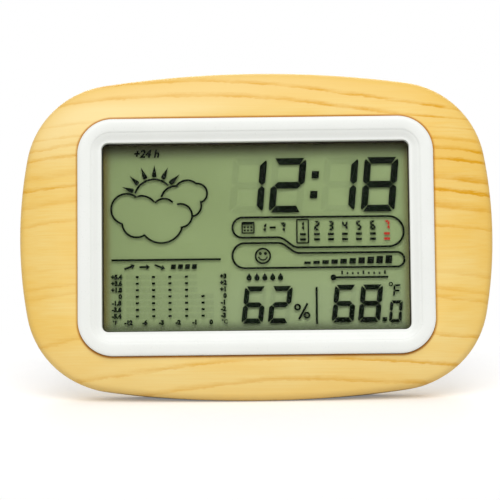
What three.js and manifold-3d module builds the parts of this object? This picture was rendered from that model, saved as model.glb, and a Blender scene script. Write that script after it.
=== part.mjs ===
// Digital weather station in a wooden frame: a segment display behind a white bezel, with push buttons,
// a battery bay and a fold-out stand at the rear.
// Millimetres. Each piece is drawn upright, +Z up and the display facing -Y, then the whole leans back.
import * as THREE from "three";
import { mergeVertices } from "three/addons/utils/BufferGeometryUtils.js";
import Module from "manifold-3d";

const wasm = await Module();
wasm.setup();

// Wooden frame.
const FRAME_WIDTH = 169.6;
const FRAME_HEIGHT = 118;
const FRAME_DEPTH = 18;
const FRAME_SIDE_RADIUS = 157;
const FRAME_TOP_RADIUS = 382;
const FRAME_CORNER_RADIUS = 32.8;
const FRAME_EDGE_ROUND = 3;
const FRAME_REAR_ROUND = 1.5;
const FRAME_DOME_WIDTH = 14.5;
const FRAME_DOME_DROP = 2.6;
const FRAME_RISE = 0.45;
const FRAME_FOOT_CUT = 2.4;
const LEAN_DEGREES = 12;

// Bezel.
const BEZEL_WIDTH = 127.1;
const BEZEL_HEIGHT = 84.9;
const BEZEL_CORNER_RADIUS = 12.65;
const BEZEL_BORDER = 8.55;
const BEZEL_RISE = 1.85;
const BEZEL_STEP_INSET = 5.2;
const BEZEL_STEP_DEPTH = 0.35;
const BEZEL_LIP_FRONT = -0.45;
const BEZEL_LIP_RIM = 0.8;
const BEZEL_OPENING_RADIUS = 2.35;
const BEZEL_PLATE_REAR = 2.2;
const BEZEL_FLANGE = 1.5;
const BEZEL_SKIRT_WALL = 1.6;
const REBATE_DEPTH = 1.6;
const SEAM_GAP = 0.35;

// Clearances: between pieces that pass each other, and between pieces stacked on each other.
const FIT_GAP = 0.3;
const STACK_GAP = 0.1;

// Display sandwich, from the front to the rear.
const WINDOW_THICKNESS = 1.2;
const GASKET_THICKNESS = 0.8;
const GASKET_SHOWN = 0.25;
const POLARISER_THICKNESS = 0.2;
const GLASS_THICKNESS = 0.7;
const GLASS_MARGIN = 1.5;
const GLASS_LEDGE = 2.2;
const FILM_MARGIN = 0.4;
const CELL_GAP = 0.25;
const REFLECTOR_THICKNESS = 0.2;
const CARRIER_THICKNESS = 2.2;
const CARRIER_BAR = 4;
const ZEBRA_THICKNESS = 1.6;
const ZEBRA_LENGTH = 100;

// Circuit board and what it carries.
const BOARD_THICKNESS = 1.2;
const BLOB_RADIUS = 6.5;
const BLOB_HEIGHT = 1.4;
const BLOB_X = 8;
const BLOB_Z = -18;
const CRYSTAL_RADIUS = 1;
const CRYSTAL_LENGTH = 6;
const CRYSTAL_X = 14;
const CRYSTAL_MARGIN = 9.05;
const BUZZER_RADIUS = 6;
const BUZZER_HEIGHT = 5.5;
const BUZZER_X = -20;
const BUZZER_Z = -20;
const SENSOR_WIDTH = 8;
const SENSOR_HEIGHT = 11;
const SENSOR_DEPTH = 3.4;
const BEAD_RADIUS = 1.3;
const SENSOR_X = -46;

// Screws and the bosses that take them.
const BOSS_RADIUS = 2.1;
const BOSS_HOLE_RADIUS = 1.1;
const CASE_BOSS_MARGIN = 16.35;
const BOARD_BOSS_PITCH = 15;
const SCREW_SHANK_RADIUS = 0.9;
const SCREW_HEAD_RADIUS = 1.9;
const SCREW_HEAD_HEIGHT = 1.4;
const BOARD_SCREW_LENGTH = 5.2;
const CASE_SCREW_LENGTH = 8.5;
const POST_RADIUS = 3.3;
const POST_FLOOR = 2.2;

// Rear cover.
const COVER_WIDTH = 138;
const COVER_HEIGHT = 94;
const COVER_CORNER_RADIUS = 22;
const COVER_DEPTH = 8;
const COVER_WALL = 2;
const COVER_EDGE_ROUND = 2.5;
const VENT_LENGTH = 14;
const VENT_WIDTH = 1.8;
const VENT_PITCH = 5;
const VENT_COUNT = 6;

// Battery bay, cells, contacts and door.
const CELL_RADIUS = 5.25;
const CELL_LENGTH = 44.5;
const CELL_NUB_RADIUS = 1.9;
const CELL_NUB_LENGTH = 0.8;
const CELL_SPACING = 11.2;
const BAY_Z = 20.5;
const BAY_WALL = 1.6;
const BAY_FLOOR = 1.4;
const BAY_CLEARANCE = 1.3;
const CONTACT_THICKNESS = 0.4;
const CONTACT_WIDTH = 8.4;
const CONTACT_DIMPLE = 0.8;
const SPRING_LENGTH = 5.2;
const SPRING_WIRE_RADIUS = 0.35;
const SPRING_BASE_RADIUS = 3.5;
const SPRING_TIP_RADIUS = 2.2;
const SPRING_TURNS = 2.5;
const WIRE_RADIUS = 0.6;
const DOOR_WIDTH = 56;
const DOOR_THICKNESS = 2.4;
const DOOR_TONGUE = 1.4;
const DOOR_TONGUE_THICKNESS = 1.1;
const DOOR_GRIP_COUNT = 4;
const DOOR_GRIP_HALF = 9;
const DOOR_GRIP_RISE = 6;
const DOOR_GRIP_PITCH = 2.2;
const DOOR_GRIP_GROOVE = 1;
const DOOR_GRIP_DEPTH = 0.6;

// Stand, which swings out of a recess in the rear cover.
const STAND_WIDTH = 42;
const STAND_THICKNESS = 3;
const STAND_BARREL_RADIUS = 2.2;
const STAND_FOOT_RADIUS = 2;
const STAND_FOOT_FLAT = 0.3;
const STAND_OPEN_DEGREES = 23;
const STAND_HINGE_Z = 0;
const STAND_RECESS = 5;
const TRUNNION_RADIUS = 1.5;
const TRUNNION_LENGTH = 2;
const TRUNNION_GAP = 0.15;

// Push buttons and the switches under them.
const BUTTON_NAMES = ["mode", "up", "down", "unit", "alarm"];
const BUTTON_X = 46;
const BUTTON_PITCH = 11;
const BUTTON_RADIUS = 3.2;
const BUTTON_FLANGE_RADIUS = 4.2;
const BUTTON_FLANGE_HEIGHT = 1.2;
const BUTTON_STEM_RADIUS = 1.5;
const BUTTON_RISE = 1;
const SWITCH_SIDE = 6;
const SWITCH_HEIGHT = 3.5;
const PLUNGER_RADIUS = 1.65;
const PLUNGER_RISE = 1;

// Fineness of curved forms.
const CURVE_STEPS = 4;
const ROUND_STEPS = 3;
const BOSS_SIDES = 12;
const DISC_SIDES = 20;

const MERGE_TOLERANCE = 1e-4;
const lean = THREE.MathUtils.degToRad(LEAN_DEGREES);
const standOpen = THREE.MathUtils.degToRad(STAND_OPEN_DEGREES);

// Levels along Y, from the display window to the circuit board.
const windowFront = BEZEL_PLATE_REAR + STACK_GAP;
const gasketFront = windowFront + WINDOW_THICKNESS + STACK_GAP;
const polariserFront = gasketFront + GASKET_THICKNESS + STACK_GAP;
const frontGlassFront = polariserFront + POLARISER_THICKNESS + STACK_GAP;
const rearGlassFront = frontGlassFront + GLASS_THICKNESS + CELL_GAP;
const reflectorFront = rearGlassFront + GLASS_THICKNESS + STACK_GAP;
const carrierFront = reflectorFront + REFLECTOR_THICKNESS + STACK_GAP;
const boardFront = carrierFront + CARRIER_THICKNESS + STACK_GAP;
const boardRear = boardFront + BOARD_THICKNESS;
const partsFront = boardRear + STACK_GAP;
const skirtRear = Math.max(FRAME_DEPTH - 2, boardRear + 3);

// Levels along Y at the rear. The cells or the wood, whichever reaches further, set the rear face.
const cellDiameter = 2 * CELL_RADIUS;
const bayDepth = BAY_FLOOR + cellDiameter + 2 * FIT_GAP + DOOR_THICKNESS;
const rearFace = Math.max(FRAME_DEPTH + COVER_DEPTH, boardRear + BAY_CLEARANCE + bayDepth);
const coverFront = FRAME_DEPTH + STACK_GAP;
const coverInner = rearFace - COVER_WALL;
const doorInner = rearFace - DOOR_THICKNESS;
const cellY = doorInner - FIT_GAP - CELL_RADIUS;
const bayFloorRear = cellY - CELL_RADIUS - FIT_GAP;
const bayFloorFront = bayFloorRear - BAY_FLOOR;

// Half sizes and places across the face.
const openingHalfWidth = BEZEL_WIDTH / 2 - BEZEL_BORDER;
const openingHalfHeight = BEZEL_HEIGHT / 2 - BEZEL_BORDER;
const skirtInset = BEZEL_FLANGE + BEZEL_SKIRT_WALL;
const bossX = BEZEL_WIDTH / 2 - skirtInset - SCREW_HEAD_RADIUS - STACK_GAP;
const caseBossZ = BEZEL_HEIGHT / 2 - CASE_BOSS_MARGIN;
const boardBossZ = caseBossZ - BOARD_BOSS_PITCH;
const glassHalfWidth = bossX - BOSS_RADIUS - FIT_GAP;
const glassTop = openingHalfHeight + GLASS_MARGIN;
const boardHalfHeight = BEZEL_HEIGHT / 2 - skirtInset - FIT_GAP;
const bayLength = CELL_LENGTH + SPRING_LENGTH + CONTACT_DIMPLE + 2 * CONTACT_THICKNESS + 4 * STACK_GAP;
const bayHalfLength = bayLength / 2;
const bayHalfHeight = CELL_SPACING / 2 + CELL_RADIUS + FIT_GAP;
const doorBottom = BAY_Z - bayHalfHeight - BAY_WALL;
const recessFloor = rearFace - STAND_RECESS;
const hingeY = recessFloor + FIT_GAP + STAND_BARREL_RADIUS;

// The floor, seen from the upright body: it rises towards the rear by the lean and cuts the rear edge.
const frameBottom = FRAME_RISE - FRAME_HEIGHT / 2;
const floorAtFront = frameBottom + FRAME_FOOT_CUT - FRAME_DEPTH * Math.tan(lean);
const footReach = floorAtFront + hingeY * Math.tan(lean) - STAND_HINGE_Z;
const footDrop = (STAND_FOOT_RADIUS - STAND_FOOT_FLAT) / Math.cos(lean);
const standLength = (-footReach - footDrop) / (Math.cos(standOpen) + Math.sin(standOpen) * Math.tan(lean));

const MATERIALS = {
  wood: new THREE.MeshStandardMaterial({ color: 0xefcd76, roughness: 0.45, metalness: 0 }),
  white: new THREE.MeshStandardMaterial({ color: 0xf2f4ee, roughness: 0.35, metalness: 0 }),
  shell: new THREE.MeshStandardMaterial({ color: 0xe9e6dc, roughness: 0.5, metalness: 0 }),
  clear: new THREE.MeshStandardMaterial({ color: 0xeef4f2, roughness: 0.05, metalness: 0 }),
  glass: new THREE.MeshStandardMaterial({ color: 0xdfe8dc, roughness: 0.08, metalness: 0 }),
  polariser: new THREE.MeshStandardMaterial({ color: 0xb9c4a4, roughness: 0.25, metalness: 0 }),
  reflector: new THREE.MeshStandardMaterial({ color: 0x8f9f73, roughness: 0.6, metalness: 0 }),
  foam: new THREE.MeshStandardMaterial({ color: 0x2a2619, roughness: 0.95, metalness: 0 }),
  carrier: new THREE.MeshStandardMaterial({ color: 0xd8d8d2, roughness: 0.6, metalness: 0 }),
  elastomer: new THREE.MeshStandardMaterial({ color: 0xe2b7b2, roughness: 0.8, metalness: 0 }),
  board: new THREE.MeshStandardMaterial({ color: 0x2f6b3a, roughness: 0.5, metalness: 0 }),
  resin: new THREE.MeshStandardMaterial({ color: 0x15161a, roughness: 0.3, metalness: 0 }),
  dark: new THREE.MeshStandardMaterial({ color: 0x24262a, roughness: 0.6, metalness: 0 }),
  sensor: new THREE.MeshStandardMaterial({ color: 0xdfe3e6, roughness: 0.5, metalness: 0 }),
  steel: new THREE.MeshStandardMaterial({ color: 0xb8bcc0, roughness: 0.3, metalness: 1 }),
  cell: new THREE.MeshStandardMaterial({ color: 0x5c6670, roughness: 0.35, metalness: 0.4 }),
  red: new THREE.MeshStandardMaterial({ color: 0xb3261e, roughness: 0.5, metalness: 0 }),
  black: new THREE.MeshStandardMaterial({ color: 0x17181a, roughness: 0.5, metalness: 0 }),
  button: new THREE.MeshStandardMaterial({ color: 0xc9c6bc, roughness: 0.65, metalness: 0 }),
};

/** A closed geometry as a solid that can be cut and joined. */
function solidOf(geometry) {
  const bare = geometry.clone();
  bare.deleteAttribute("normal");
  bare.deleteAttribute("uv");
  const merged = mergeVertices(bare, MERGE_TOLERANCE);
  const vertProperties = new Float32Array(merged.attributes.position.array);
  const triVerts = new Uint32Array(merged.index.array);
  return new wasm.Manifold(new wasm.Mesh({ numProp: 3, vertProperties, triVerts }));
}

/** A solid back as a geometry. */
function geometryOf(solid) {
  const mesh = solid.getMesh();
  const geometry = new THREE.BufferGeometry();
  geometry.setAttribute("position", new THREE.BufferAttribute(new Float32Array(mesh.vertProperties), 3));
  geometry.setIndex(new THREE.BufferAttribute(new Uint32Array(mesh.triVerts), 1));
  const faceted = geometry.toNonIndexed();
  faceted.computeVertexNormals();
  return faceted;
}

/** One geometry made of several that touch. */
function join(...geometries) {
  const solids = geometries.map(solidOf);
  return geometryOf(solids.reduce((whole, next) => whole.add(next)));
}

/** A geometry less each of the tools. */
function cut(geometry, ...tools) {
  const whole = solidOf(geometry);
  return geometryOf(tools.map(solidOf).reduce((left, tool) => left.subtract(tool), whole));
}

/** What two geometries share. */
function common(first, second) {
  return geometryOf(solidOf(first).intersect(solidOf(second)));
}

/** A box between two corners. */
function block(x0, x1, y0, y1, z0, z1) {
  const box = new THREE.BoxGeometry(x1 - x0, y1 - y0, z1 - z0);
  return box.translate((x0 + x1) / 2, (y0 + y1) / 2, (z0 + z1) / 2);
}

/** A round bar along Y. */
function rodY(x, z, radius, front, rear, sides = BOSS_SIDES) {
  const rod = new THREE.CylinderGeometry(radius, radius, rear - front, sides);
  return rod.translate(x, (front + rear) / 2, z);
}

/** A round bar along X. */
function rodX(y, z, radius, left, right, sides = BOSS_SIDES) {
  const rod = new THREE.CylinderGeometry(radius, radius, right - left, sides);
  return rod.rotateZ(Math.PI / 2).translate((left + right) / 2, y, z);
}

/** A turned form about Y from a list of radius and height pairs that starts and ends on the axis. */
function turned(profile, sides = DISC_SIDES) {
  const points = profile.map(([radius, height]) => new THREE.Vector2(radius, height));
  return new THREE.LatheGeometry(points, sides);
}

/** A rectangle with rounded corners. */
function roundedRect(width, height, radius) {
  const x = width / 2 - radius;
  const z = height / 2 - radius;
  const shape = new THREE.Shape();
  shape.moveTo(-x, -height / 2);
  shape.lineTo(x, -height / 2);
  shape.absarc(x, -z, radius, -Math.PI / 2, 0);
  shape.lineTo(width / 2, z);
  shape.absarc(x, z, radius, 0, Math.PI / 2);
  shape.lineTo(-x, height / 2);
  shape.absarc(-x, z, radius, Math.PI / 2, Math.PI);
  shape.lineTo(-width / 2, -z);
  shape.absarc(-x, -z, radius, Math.PI, 1.5 * Math.PI);
  return shape;
}

/** The frame's outline, eight arcs that run into each other, drawn inwards by an inset. */
function frameOutline(inset) {
  const halfWidth = FRAME_WIDTH / 2 - inset;
  const halfHeight = FRAME_HEIGHT / 2 - inset;
  const side = FRAME_SIDE_RADIUS - inset;
  const top = FRAME_TOP_RADIUS - inset;
  const corner = FRAME_CORNER_RADIUS - inset;
  const sideX = halfWidth - side;
  const topZ = halfHeight - top;
  const spread = Math.hypot(sideX, topZ);
  const along = ((side - corner) ** 2 - (top - corner) ** 2 + spread ** 2) / (2 * spread);
  const across = Math.sqrt((side - corner) ** 2 - along ** 2);
  const cornerX = sideX - (along * sideX + across * topZ) / spread;
  const cornerZ = (along * topZ - across * sideX) / spread;
  const low = Math.atan2(cornerZ, cornerX - sideX);
  const high = Math.atan2(cornerZ - topZ, cornerX);
  const half = Math.PI;
  const shape = new THREE.Shape();
  shape.absarc(sideX, 0, side, -low, low);
  shape.absarc(cornerX, cornerZ, corner, low, high);
  shape.absarc(0, topZ, top, high, half - high);
  shape.absarc(-cornerX, cornerZ, corner, half - high, half - low);
  shape.absarc(-sideX, 0, side, half - low, half + low);
  shape.absarc(-cornerX, -cornerZ, corner, half + low, half + high);
  shape.absarc(0, -topZ, top, half + high, 2 * half - high);
  shape.absarc(cornerX, -cornerZ, corner, 2 * half - high, 2 * half - low);
  return shape;
}

/** The points of an outline, placed upright at a depth. */
function ring(shape, depth) {
  const points = shape.getPoints(CURVE_STEPS);
  const apart = (point, i) => point.distanceTo(points[(i + 1) % points.length]) > MERGE_TOLERANCE;
  return points.filter(apart).map((point) => new THREE.Vector3(point.x, depth, point.y));
}

/** A skin through rings of equal count, closed by flat ends or, for a loop, by joining last to first. */
function skin(rings, loop = false) {
  const count = rings[0].length;
  const corners = [];
  const spans = loop ? rings.length : rings.length - 1;
  for (let i = 0; i < spans; i += 1) {
    const near = i * count;
    const far = ((i + 1) % rings.length) * count;
    for (let j = 0; j < count; j += 1) {
      const k = (j + 1) % count;
      corners.push(near + j, far + j, near + k);
      corners.push(near + k, far + j, far + k);
    }
  }
  const end = (rings.length - 1) * count;
  for (let j = 1; !loop && j < count - 1; j += 1) {
    corners.push(0, j, j + 1);
    corners.push(end, end + j + 1, end + j);
  }
  const geometry = new THREE.BufferGeometry().setFromPoints(rings.flat());
  geometry.setIndex(corners);
  return geometry.toNonIndexed();
}

/** A plate with square edges: an outline given thickness along Y. */
function plate(shape, front, rear) {
  return skin([ring(shape, front), ring(shape, rear)]);
}

/** Steps of a quarter round as pairs of inset and distance from the end face. */
function quarterRound(radius) {
  const steps = [];
  for (let i = 0; i <= ROUND_STEPS; i += 1) {
    const turn = (i / ROUND_STEPS) * (Math.PI / 2);
    steps.push([radius * (1 - Math.cos(turn)), radius * (1 - Math.sin(turn))]);
  }
  return steps;
}

/** A round tube through points, drawn as a six-sided bar along a curve. */
function tube(points, radius, steps) {
  const path = new THREE.CatmullRomCurve3(points);
  const section = new THREE.Shape();
  section.absarc(0, 0, radius, 0, 2 * Math.PI);
  return new THREE.ExtrudeGeometry(section, { steps, extrudePath: path, curveSegments: 3 });
}

/** The floor as a thick slab below the leaning body. */
function floorSlab() {
  const reach = 2 * FRAME_WIDTH;
  const slab = block(-reach, reach, -reach, reach, -FRAME_HEIGHT, 0);
  return slab.rotateX(lean).translate(0, 0, floorAtFront);
}

/** The room inside the bezel's skirt, less a gap all round. */
function skirtRoom(gap, front, rear) {
  const inset = 2 * (skirtInset + gap);
  const radius = BEZEL_CORNER_RADIUS - skirtInset - gap;
  return plate(roundedRect(BEZEL_WIDTH - inset, BEZEL_HEIGHT - inset, radius), front, rear);
}

/** A display sheet: a rectangle kept clear of the skirt's round corners. */
function sheet(front, thickness, bottom, margin = 0) {
  const half = glassHalfWidth - margin;
  const panel = block(-half, half, front, front + thickness, bottom + margin, glassTop - margin);
  return common(panel, skirtRoom(FIT_GAP, front - 1, front + thickness + 1));
}

/** The wooden frame: a pillowed ring with a rebate for the bezel and a flat to stand on. */
function woodFrame() {
  const rings = [];
  for (let i = 0; i <= ROUND_STEPS; i += 1) {
    const reach = i / ROUND_STEPS;
    const inset = FRAME_DOME_WIDTH + (FRAME_EDGE_ROUND * 0.8 - FRAME_DOME_WIDTH) * reach;
    rings.push(ring(frameOutline(inset), FRAME_DOME_DROP * reach ** 1.5));
  }
  const edge = quarterRound(FRAME_EDGE_ROUND).reverse();
  for (const [inset, fall] of edge.slice(1)) {
    rings.push(ring(frameOutline(inset), FRAME_DOME_DROP + fall));
  }
  for (const [inset, rise] of quarterRound(FRAME_REAR_ROUND)) {
    rings.push(ring(frameOutline(inset), FRAME_DEPTH - rise));
  }
  const seam = 2 * SEAM_GAP;
  const seamRadius = BEZEL_CORNER_RADIUS + SEAM_GAP;
  const rebate = plate(roundedRect(BEZEL_WIDTH + seam, BEZEL_HEIGHT + seam, seamRadius), -5, REBATE_DEPTH);
  const inset = 2 * (BEZEL_FLANGE - FIT_GAP);
  const holeRadius = BEZEL_CORNER_RADIUS - BEZEL_FLANGE + FIT_GAP;
  const hole = plate(roundedRect(BEZEL_WIDTH - inset, BEZEL_HEIGHT - inset, holeRadius), -5, FRAME_DEPTH + 5);
  return cut(skin(rings).translate(0, 0, FRAME_RISE), rebate, hole, floorSlab());
}

/** The bezel's outline, drawn inwards by an inset, with corners that tighten towards the opening. */
function bezelOutline(inset) {
  const share = Math.max(inset - skirtInset, 0) / (BEZEL_BORDER - skirtInset);
  const tighter = BEZEL_CORNER_RADIUS - BEZEL_BORDER - BEZEL_OPENING_RADIUS;
  const radius = BEZEL_CORNER_RADIUS - inset - share * tighter;
  return roundedRect(BEZEL_WIDTH - 2 * inset, BEZEL_HEIGHT - 2 * inset, radius);
}

/** The bezel: a crowned border that steps and slopes down to a lip, on a skirt with bosses for the screws. */
function bezel() {
  const crown = BEZEL_STEP_INSET - 0.7;
  const rim = BEZEL_BORDER - BEZEL_LIP_RIM;
  const section = [
    [BEZEL_BORDER, BEZEL_PLATE_REAR],
    [BEZEL_BORDER, BEZEL_LIP_FRONT + 0.25],
    [BEZEL_BORDER - 0.25, BEZEL_LIP_FRONT],
    [rim, BEZEL_LIP_FRONT],
    [rim - 0.5, BEZEL_LIP_FRONT - 0.12],
    [BEZEL_STEP_INSET, BEZEL_STEP_DEPTH + 0.15 - BEZEL_RISE],
    [crown, 0.15 - BEZEL_RISE],
    [crown * 0.6, -BEZEL_RISE],
    [crown * 0.37, -BEZEL_RISE],
    [crown * 0.17, 0.1 - BEZEL_RISE],
    [crown * 0.06, 0.28 - BEZEL_RISE],
    [0, 0.6 - BEZEL_RISE],
    [0, REBATE_DEPTH - STACK_GAP],
    [BEZEL_FLANGE, REBATE_DEPTH - STACK_GAP],
    [BEZEL_FLANGE, skirtRear],
    [skirtInset, skirtRear],
    [skirtInset, BEZEL_PLATE_REAR],
  ];
  const shell = skin(section.map(([inset, depth]) => ring(bezelOutline(inset), depth)), true);
  const bosses = [];
  const holes = [];
  for (const [z, rear, hole] of [
    [boardBossZ, boardFront - STACK_GAP, boardRear - BOARD_SCREW_LENGTH],
    [caseBossZ, skirtRear, skirtRear + POST_FLOOR - CASE_SCREW_LENGTH],
  ]) {
    for (const side of [-1, 1]) {
      for (const level of [-z, z]) {
        const wall = side * (BEZEL_WIDTH / 2 - skirtInset + BEZEL_SKIRT_WALL / 2);
        const root = BEZEL_PLATE_REAR - 0.2;
        const left = Math.min(side * bossX, wall);
        const right = Math.max(side * bossX, wall);
        bosses.push(rodY(side * bossX, level, BOSS_RADIUS, root, rear));
        bosses.push(block(left, right, root, rear, level - 1, level + 1));
        holes.push(rodY(side * bossX, level, BOSS_HOLE_RADIUS, hole - 0.6, rear + 1));
      }
    }
  }
  return cut(join(shell, ...bosses), ...holes);
}

/** The dust gasket, which shows as a dark line inside the bezel's lip. */
function dustGasket() {
  const half = openingHalfWidth - GASKET_SHOWN;
  const top = openingHalfHeight - GASKET_SHOWN;
  const rear = gasketFront + GASKET_THICKNESS;
  const hole = block(-half, half, gasketFront - 1, rear + 1, -top, top);
  return cut(sheet(gasketFront, GASKET_THICKNESS, -glassTop), hole);
}

/** The frame that holds the display off the board, slotted for the elastomer strip. */
function lcdCarrier() {
  const bottom = -glassTop - GLASS_LEDGE;
  const rear = carrierFront + CARRIER_THICKNESS;
  const half = glassHalfWidth - CARRIER_BAR;
  const top = glassTop - CARRIER_BAR;
  const middle = block(-half, half, carrierFront - 1, rear + 1, -top, top);
  const reach = ZEBRA_LENGTH / 2 + STACK_GAP;
  const low = bottom + STACK_GAP;
  const slot = block(-reach, reach, carrierFront - 1, rear + 1, low, low + ZEBRA_THICKNESS + 2 * STACK_GAP);
  return cut(sheet(carrierFront, CARRIER_THICKNESS, bottom - 0.5), middle, slot);
}

/** The elastomer strip from the front glass's ledge to the board. */
function zebraStrip() {
  const low = -glassTop - GLASS_LEDGE + 2 * STACK_GAP;
  const front = frontGlassFront + GLASS_THICKNESS + STACK_GAP;
  const half = ZEBRA_LENGTH / 2;
  return block(-half, half, front, boardFront - STACK_GAP, low, low + ZEBRA_THICKNESS);
}

/** The circuit board, drilled for its screws and notched round the case bosses. */
function mainBoard() {
  const tools = [];
  for (const side of [-1, 1]) {
    for (const sign of [-1, 1]) {
      const screwZ = sign * boardBossZ;
      const notchZ = sign * caseBossZ;
      tools.push(rodY(side * bossX, screwZ, BOSS_HOLE_RADIUS, boardFront - 1, boardRear + 1));
      tools.push(rodY(side * bossX, notchZ, BOSS_RADIUS + FIT_GAP, boardFront - 1, boardRear + 1));
    }
  }
  return cut(skirtRoom(FIT_GAP, boardFront, boardRear), ...tools);
}

/** A screw with a cross recess, its head to the rear and its shank to the front. */
function screw(x, z, seat, length) {
  const top = seat + SCREW_HEAD_HEIGHT;
  const shank = turned([
    [0, seat - length],
    [SCREW_SHANK_RADIUS * 0.4, seat - length],
    [SCREW_SHANK_RADIUS, seat - length + 0.8],
    [SCREW_SHANK_RADIUS, seat],
    [SCREW_HEAD_RADIUS, seat],
    [SCREW_HEAD_RADIUS, top - 0.5],
    [SCREW_HEAD_RADIUS * 0.75, top],
    [0, top],
  ], BOSS_SIDES);
  const arm = SCREW_HEAD_RADIUS * 0.6;
  const wide = block(-arm, arm, top - 0.8, top + 1, -0.25, 0.25);
  const tall = block(-0.25, 0.25, top - 0.8, top + 1, -arm, arm);
  return cut(shank, wide, tall).translate(x, 0, z);
}

/** The rear cover's outline, drawn inwards by an inset. */
function coverOutline(inset) {
  return roundedRect(COVER_WIDTH - 2 * inset, COVER_HEIGHT - 2 * inset, COVER_CORNER_RADIUS - inset);
}

/** The rear cover as a solid lump with its rounded rear edge. */
function coverBody() {
  const rings = [ring(coverOutline(0), coverFront)];
  for (const [inset, rise] of quarterRound(COVER_EDGE_ROUND)) {
    rings.push(ring(coverOutline(inset), rearFace - rise));
  }
  return skin(rings);
}

/** The rear cover: a shell with the battery bay, the door's channel, posts, vents and the stand's recess. */
function rearCover() {
  const hollow = plate(coverOutline(COVER_WALL), coverFront - 5, coverInner);
  const standHalf = STAND_WIDTH / 2 + FIT_GAP;
  const socketEnd = standHalf + TRUNNION_LENGTH;
  const standWall = socketEnd + 1;
  const recessTop = STAND_HINGE_Z + STAND_BARREL_RADIUS + 1.1;
  const coverBottom = -COVER_HEIGHT / 2;
  const coverTop = COVER_HEIGHT / 2;
  const channelHalf = DOOR_WIDTH / 2 + DOOR_TONGUE + FIT_GAP;
  const channelWall = channelHalf + 1.5;
  const bayWide = bayHalfLength + BAY_WALL;
  const bayTall = bayHalfHeight + BAY_WALL;
  const added = [
    block(-standWall, standWall, recessFloor - 1.4, coverInner + 1, coverBottom + 1, recessTop + 1.4),
    block(-bayWide, bayWide, bayFloorFront, doorInner, BAY_Z - bayTall, BAY_Z + bayTall),
    block(-channelWall, channelWall, doorInner - 1.6, coverInner + 1, doorBottom - 1.5, coverTop - 1),
  ];
  const bayRim = doorInner + 1;
  const tongueTop = doorInner + DOOR_TONGUE_THICKNESS + FIT_GAP / 2;
  const doorHalf = DOOR_WIDTH / 2 + FIT_GAP / 2;
  const doorLow = doorBottom - STACK_GAP;
  const bayX = bayHalfLength;
  const taken = [
    block(-standHalf, standHalf, recessFloor, rearFace + 5, coverBottom - 5, recessTop),
    block(-bayX, bayX, bayFloorRear, bayRim, BAY_Z - bayHalfHeight, BAY_Z + bayHalfHeight),
    block(-channelHalf, channelHalf, doorInner - STACK_GAP, tongueTop, doorLow, coverTop + 5),
    block(-doorHalf, doorHalf, doorInner - STACK_GAP, rearFace + 5, doorLow, coverTop + 5),
    rodX(hingeY, STAND_HINGE_Z, TRUNNION_RADIUS + TRUNNION_GAP, -socketEnd, socketEnd),
  ];
  for (const sign of [-1, 1]) {
    const z = BAY_Z + (sign * CELL_SPACING) / 2;
    taken.push(block(-bayWide - 1, -bayX + 1, bayFloorRear + 0.1, bayFloorRear + 1.3, z - 2, z + 2));
  }
  for (const side of [-1, 1]) {
    for (const z of [-caseBossZ, caseBossZ]) {
      const front = skirtRear + STACK_GAP;
      added.push(rodY(side * bossX, z, POST_RADIUS, front, coverInner + 1));
      taken.push(rodY(side * bossX, z, BOSS_HOLE_RADIUS, front - 1, rearFace));
      taken.push(rodY(side * bossX, z, SCREW_HEAD_RADIUS + FIT_GAP, front + POST_FLOOR, rearFace + 1));
    }
  }
  for (let i = 0; i < VENT_COUNT; i += 1) {
    const z = (i - (VENT_COUNT - 1) / 2) * VENT_PITCH;
    const left = SENSOR_X - VENT_LENGTH / 2;
    const half = VENT_WIDTH / 2;
    taken.push(block(left, left + VENT_LENGTH, coverInner - 1, rearFace + 1, z - half, z + half));
  }
  const buttonHole = BUTTON_RADIUS + FIT_GAP / 2;
  BUTTON_NAMES.forEach((name, i) => {
    taken.push(rodY(BUTTON_X, buttonZ(i), buttonHole, coverInner - 1, rearFace + 1, DISC_SIDES));
  });
  return cut(join(cut(coverBody(), hollow), ...added), ...taken);
}

/** The height of a button in the column. */
function buttonZ(index) {
  return ((BUTTON_NAMES.length - 1) / 2 - index) * BUTTON_PITCH;
}

/** The battery door: a plate with side tongues that run in the cover's channel, and grip ribs. */
function batteryDoor() {
  const half = DOOR_WIDTH / 2;
  const top = COVER_HEIGHT / 2 + 1;
  const tongue = half + DOOR_TONGUE;
  const level = doorInner + DOOR_TONGUE_THICKNESS;
  const panel = block(-half, half, doorInner, rearFace, doorBottom, top);
  const rails = block(-tongue, tongue, doorInner, level, doorBottom, top);
  const grooves = [];
  const grip = DOOR_GRIP_HALF;
  for (let i = 0; i < DOOR_GRIP_COUNT; i += 1) {
    const z = doorBottom + DOOR_GRIP_RISE + i * DOOR_GRIP_PITCH;
    grooves.push(block(-grip, grip, rearFace - DOOR_GRIP_DEPTH, rearFace + 1, z, z + DOOR_GRIP_GROOVE));
  }
  return cut(common(join(panel, rails), coverBody()), ...grooves);
}

/** A dry cell along X with its nub towards the given side. */
function cell(side, z) {
  const shoulder = CELL_LENGTH - CELL_NUB_LENGTH;
  const can = turned([
    [0, 0],
    [CELL_RADIUS - 0.35, 0],
    [CELL_RADIUS, 0.35],
    [CELL_RADIUS, shoulder - 0.35],
    [CELL_RADIUS - 0.35, shoulder],
    [CELL_NUB_RADIUS, shoulder],
    [CELL_NUB_RADIUS, CELL_LENGTH],
    [0, CELL_LENGTH],
  ]);
  const nubEnd = bayHalfLength - CONTACT_THICKNESS - CONTACT_DIMPLE - 2 * STACK_GAP;
  can.translate(0, nubEnd - CELL_LENGTH, 0);
  can.rotateZ(side > 0 ? -Math.PI / 2 : Math.PI / 2);
  return can.translate(0, cellY, z);
}

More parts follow.
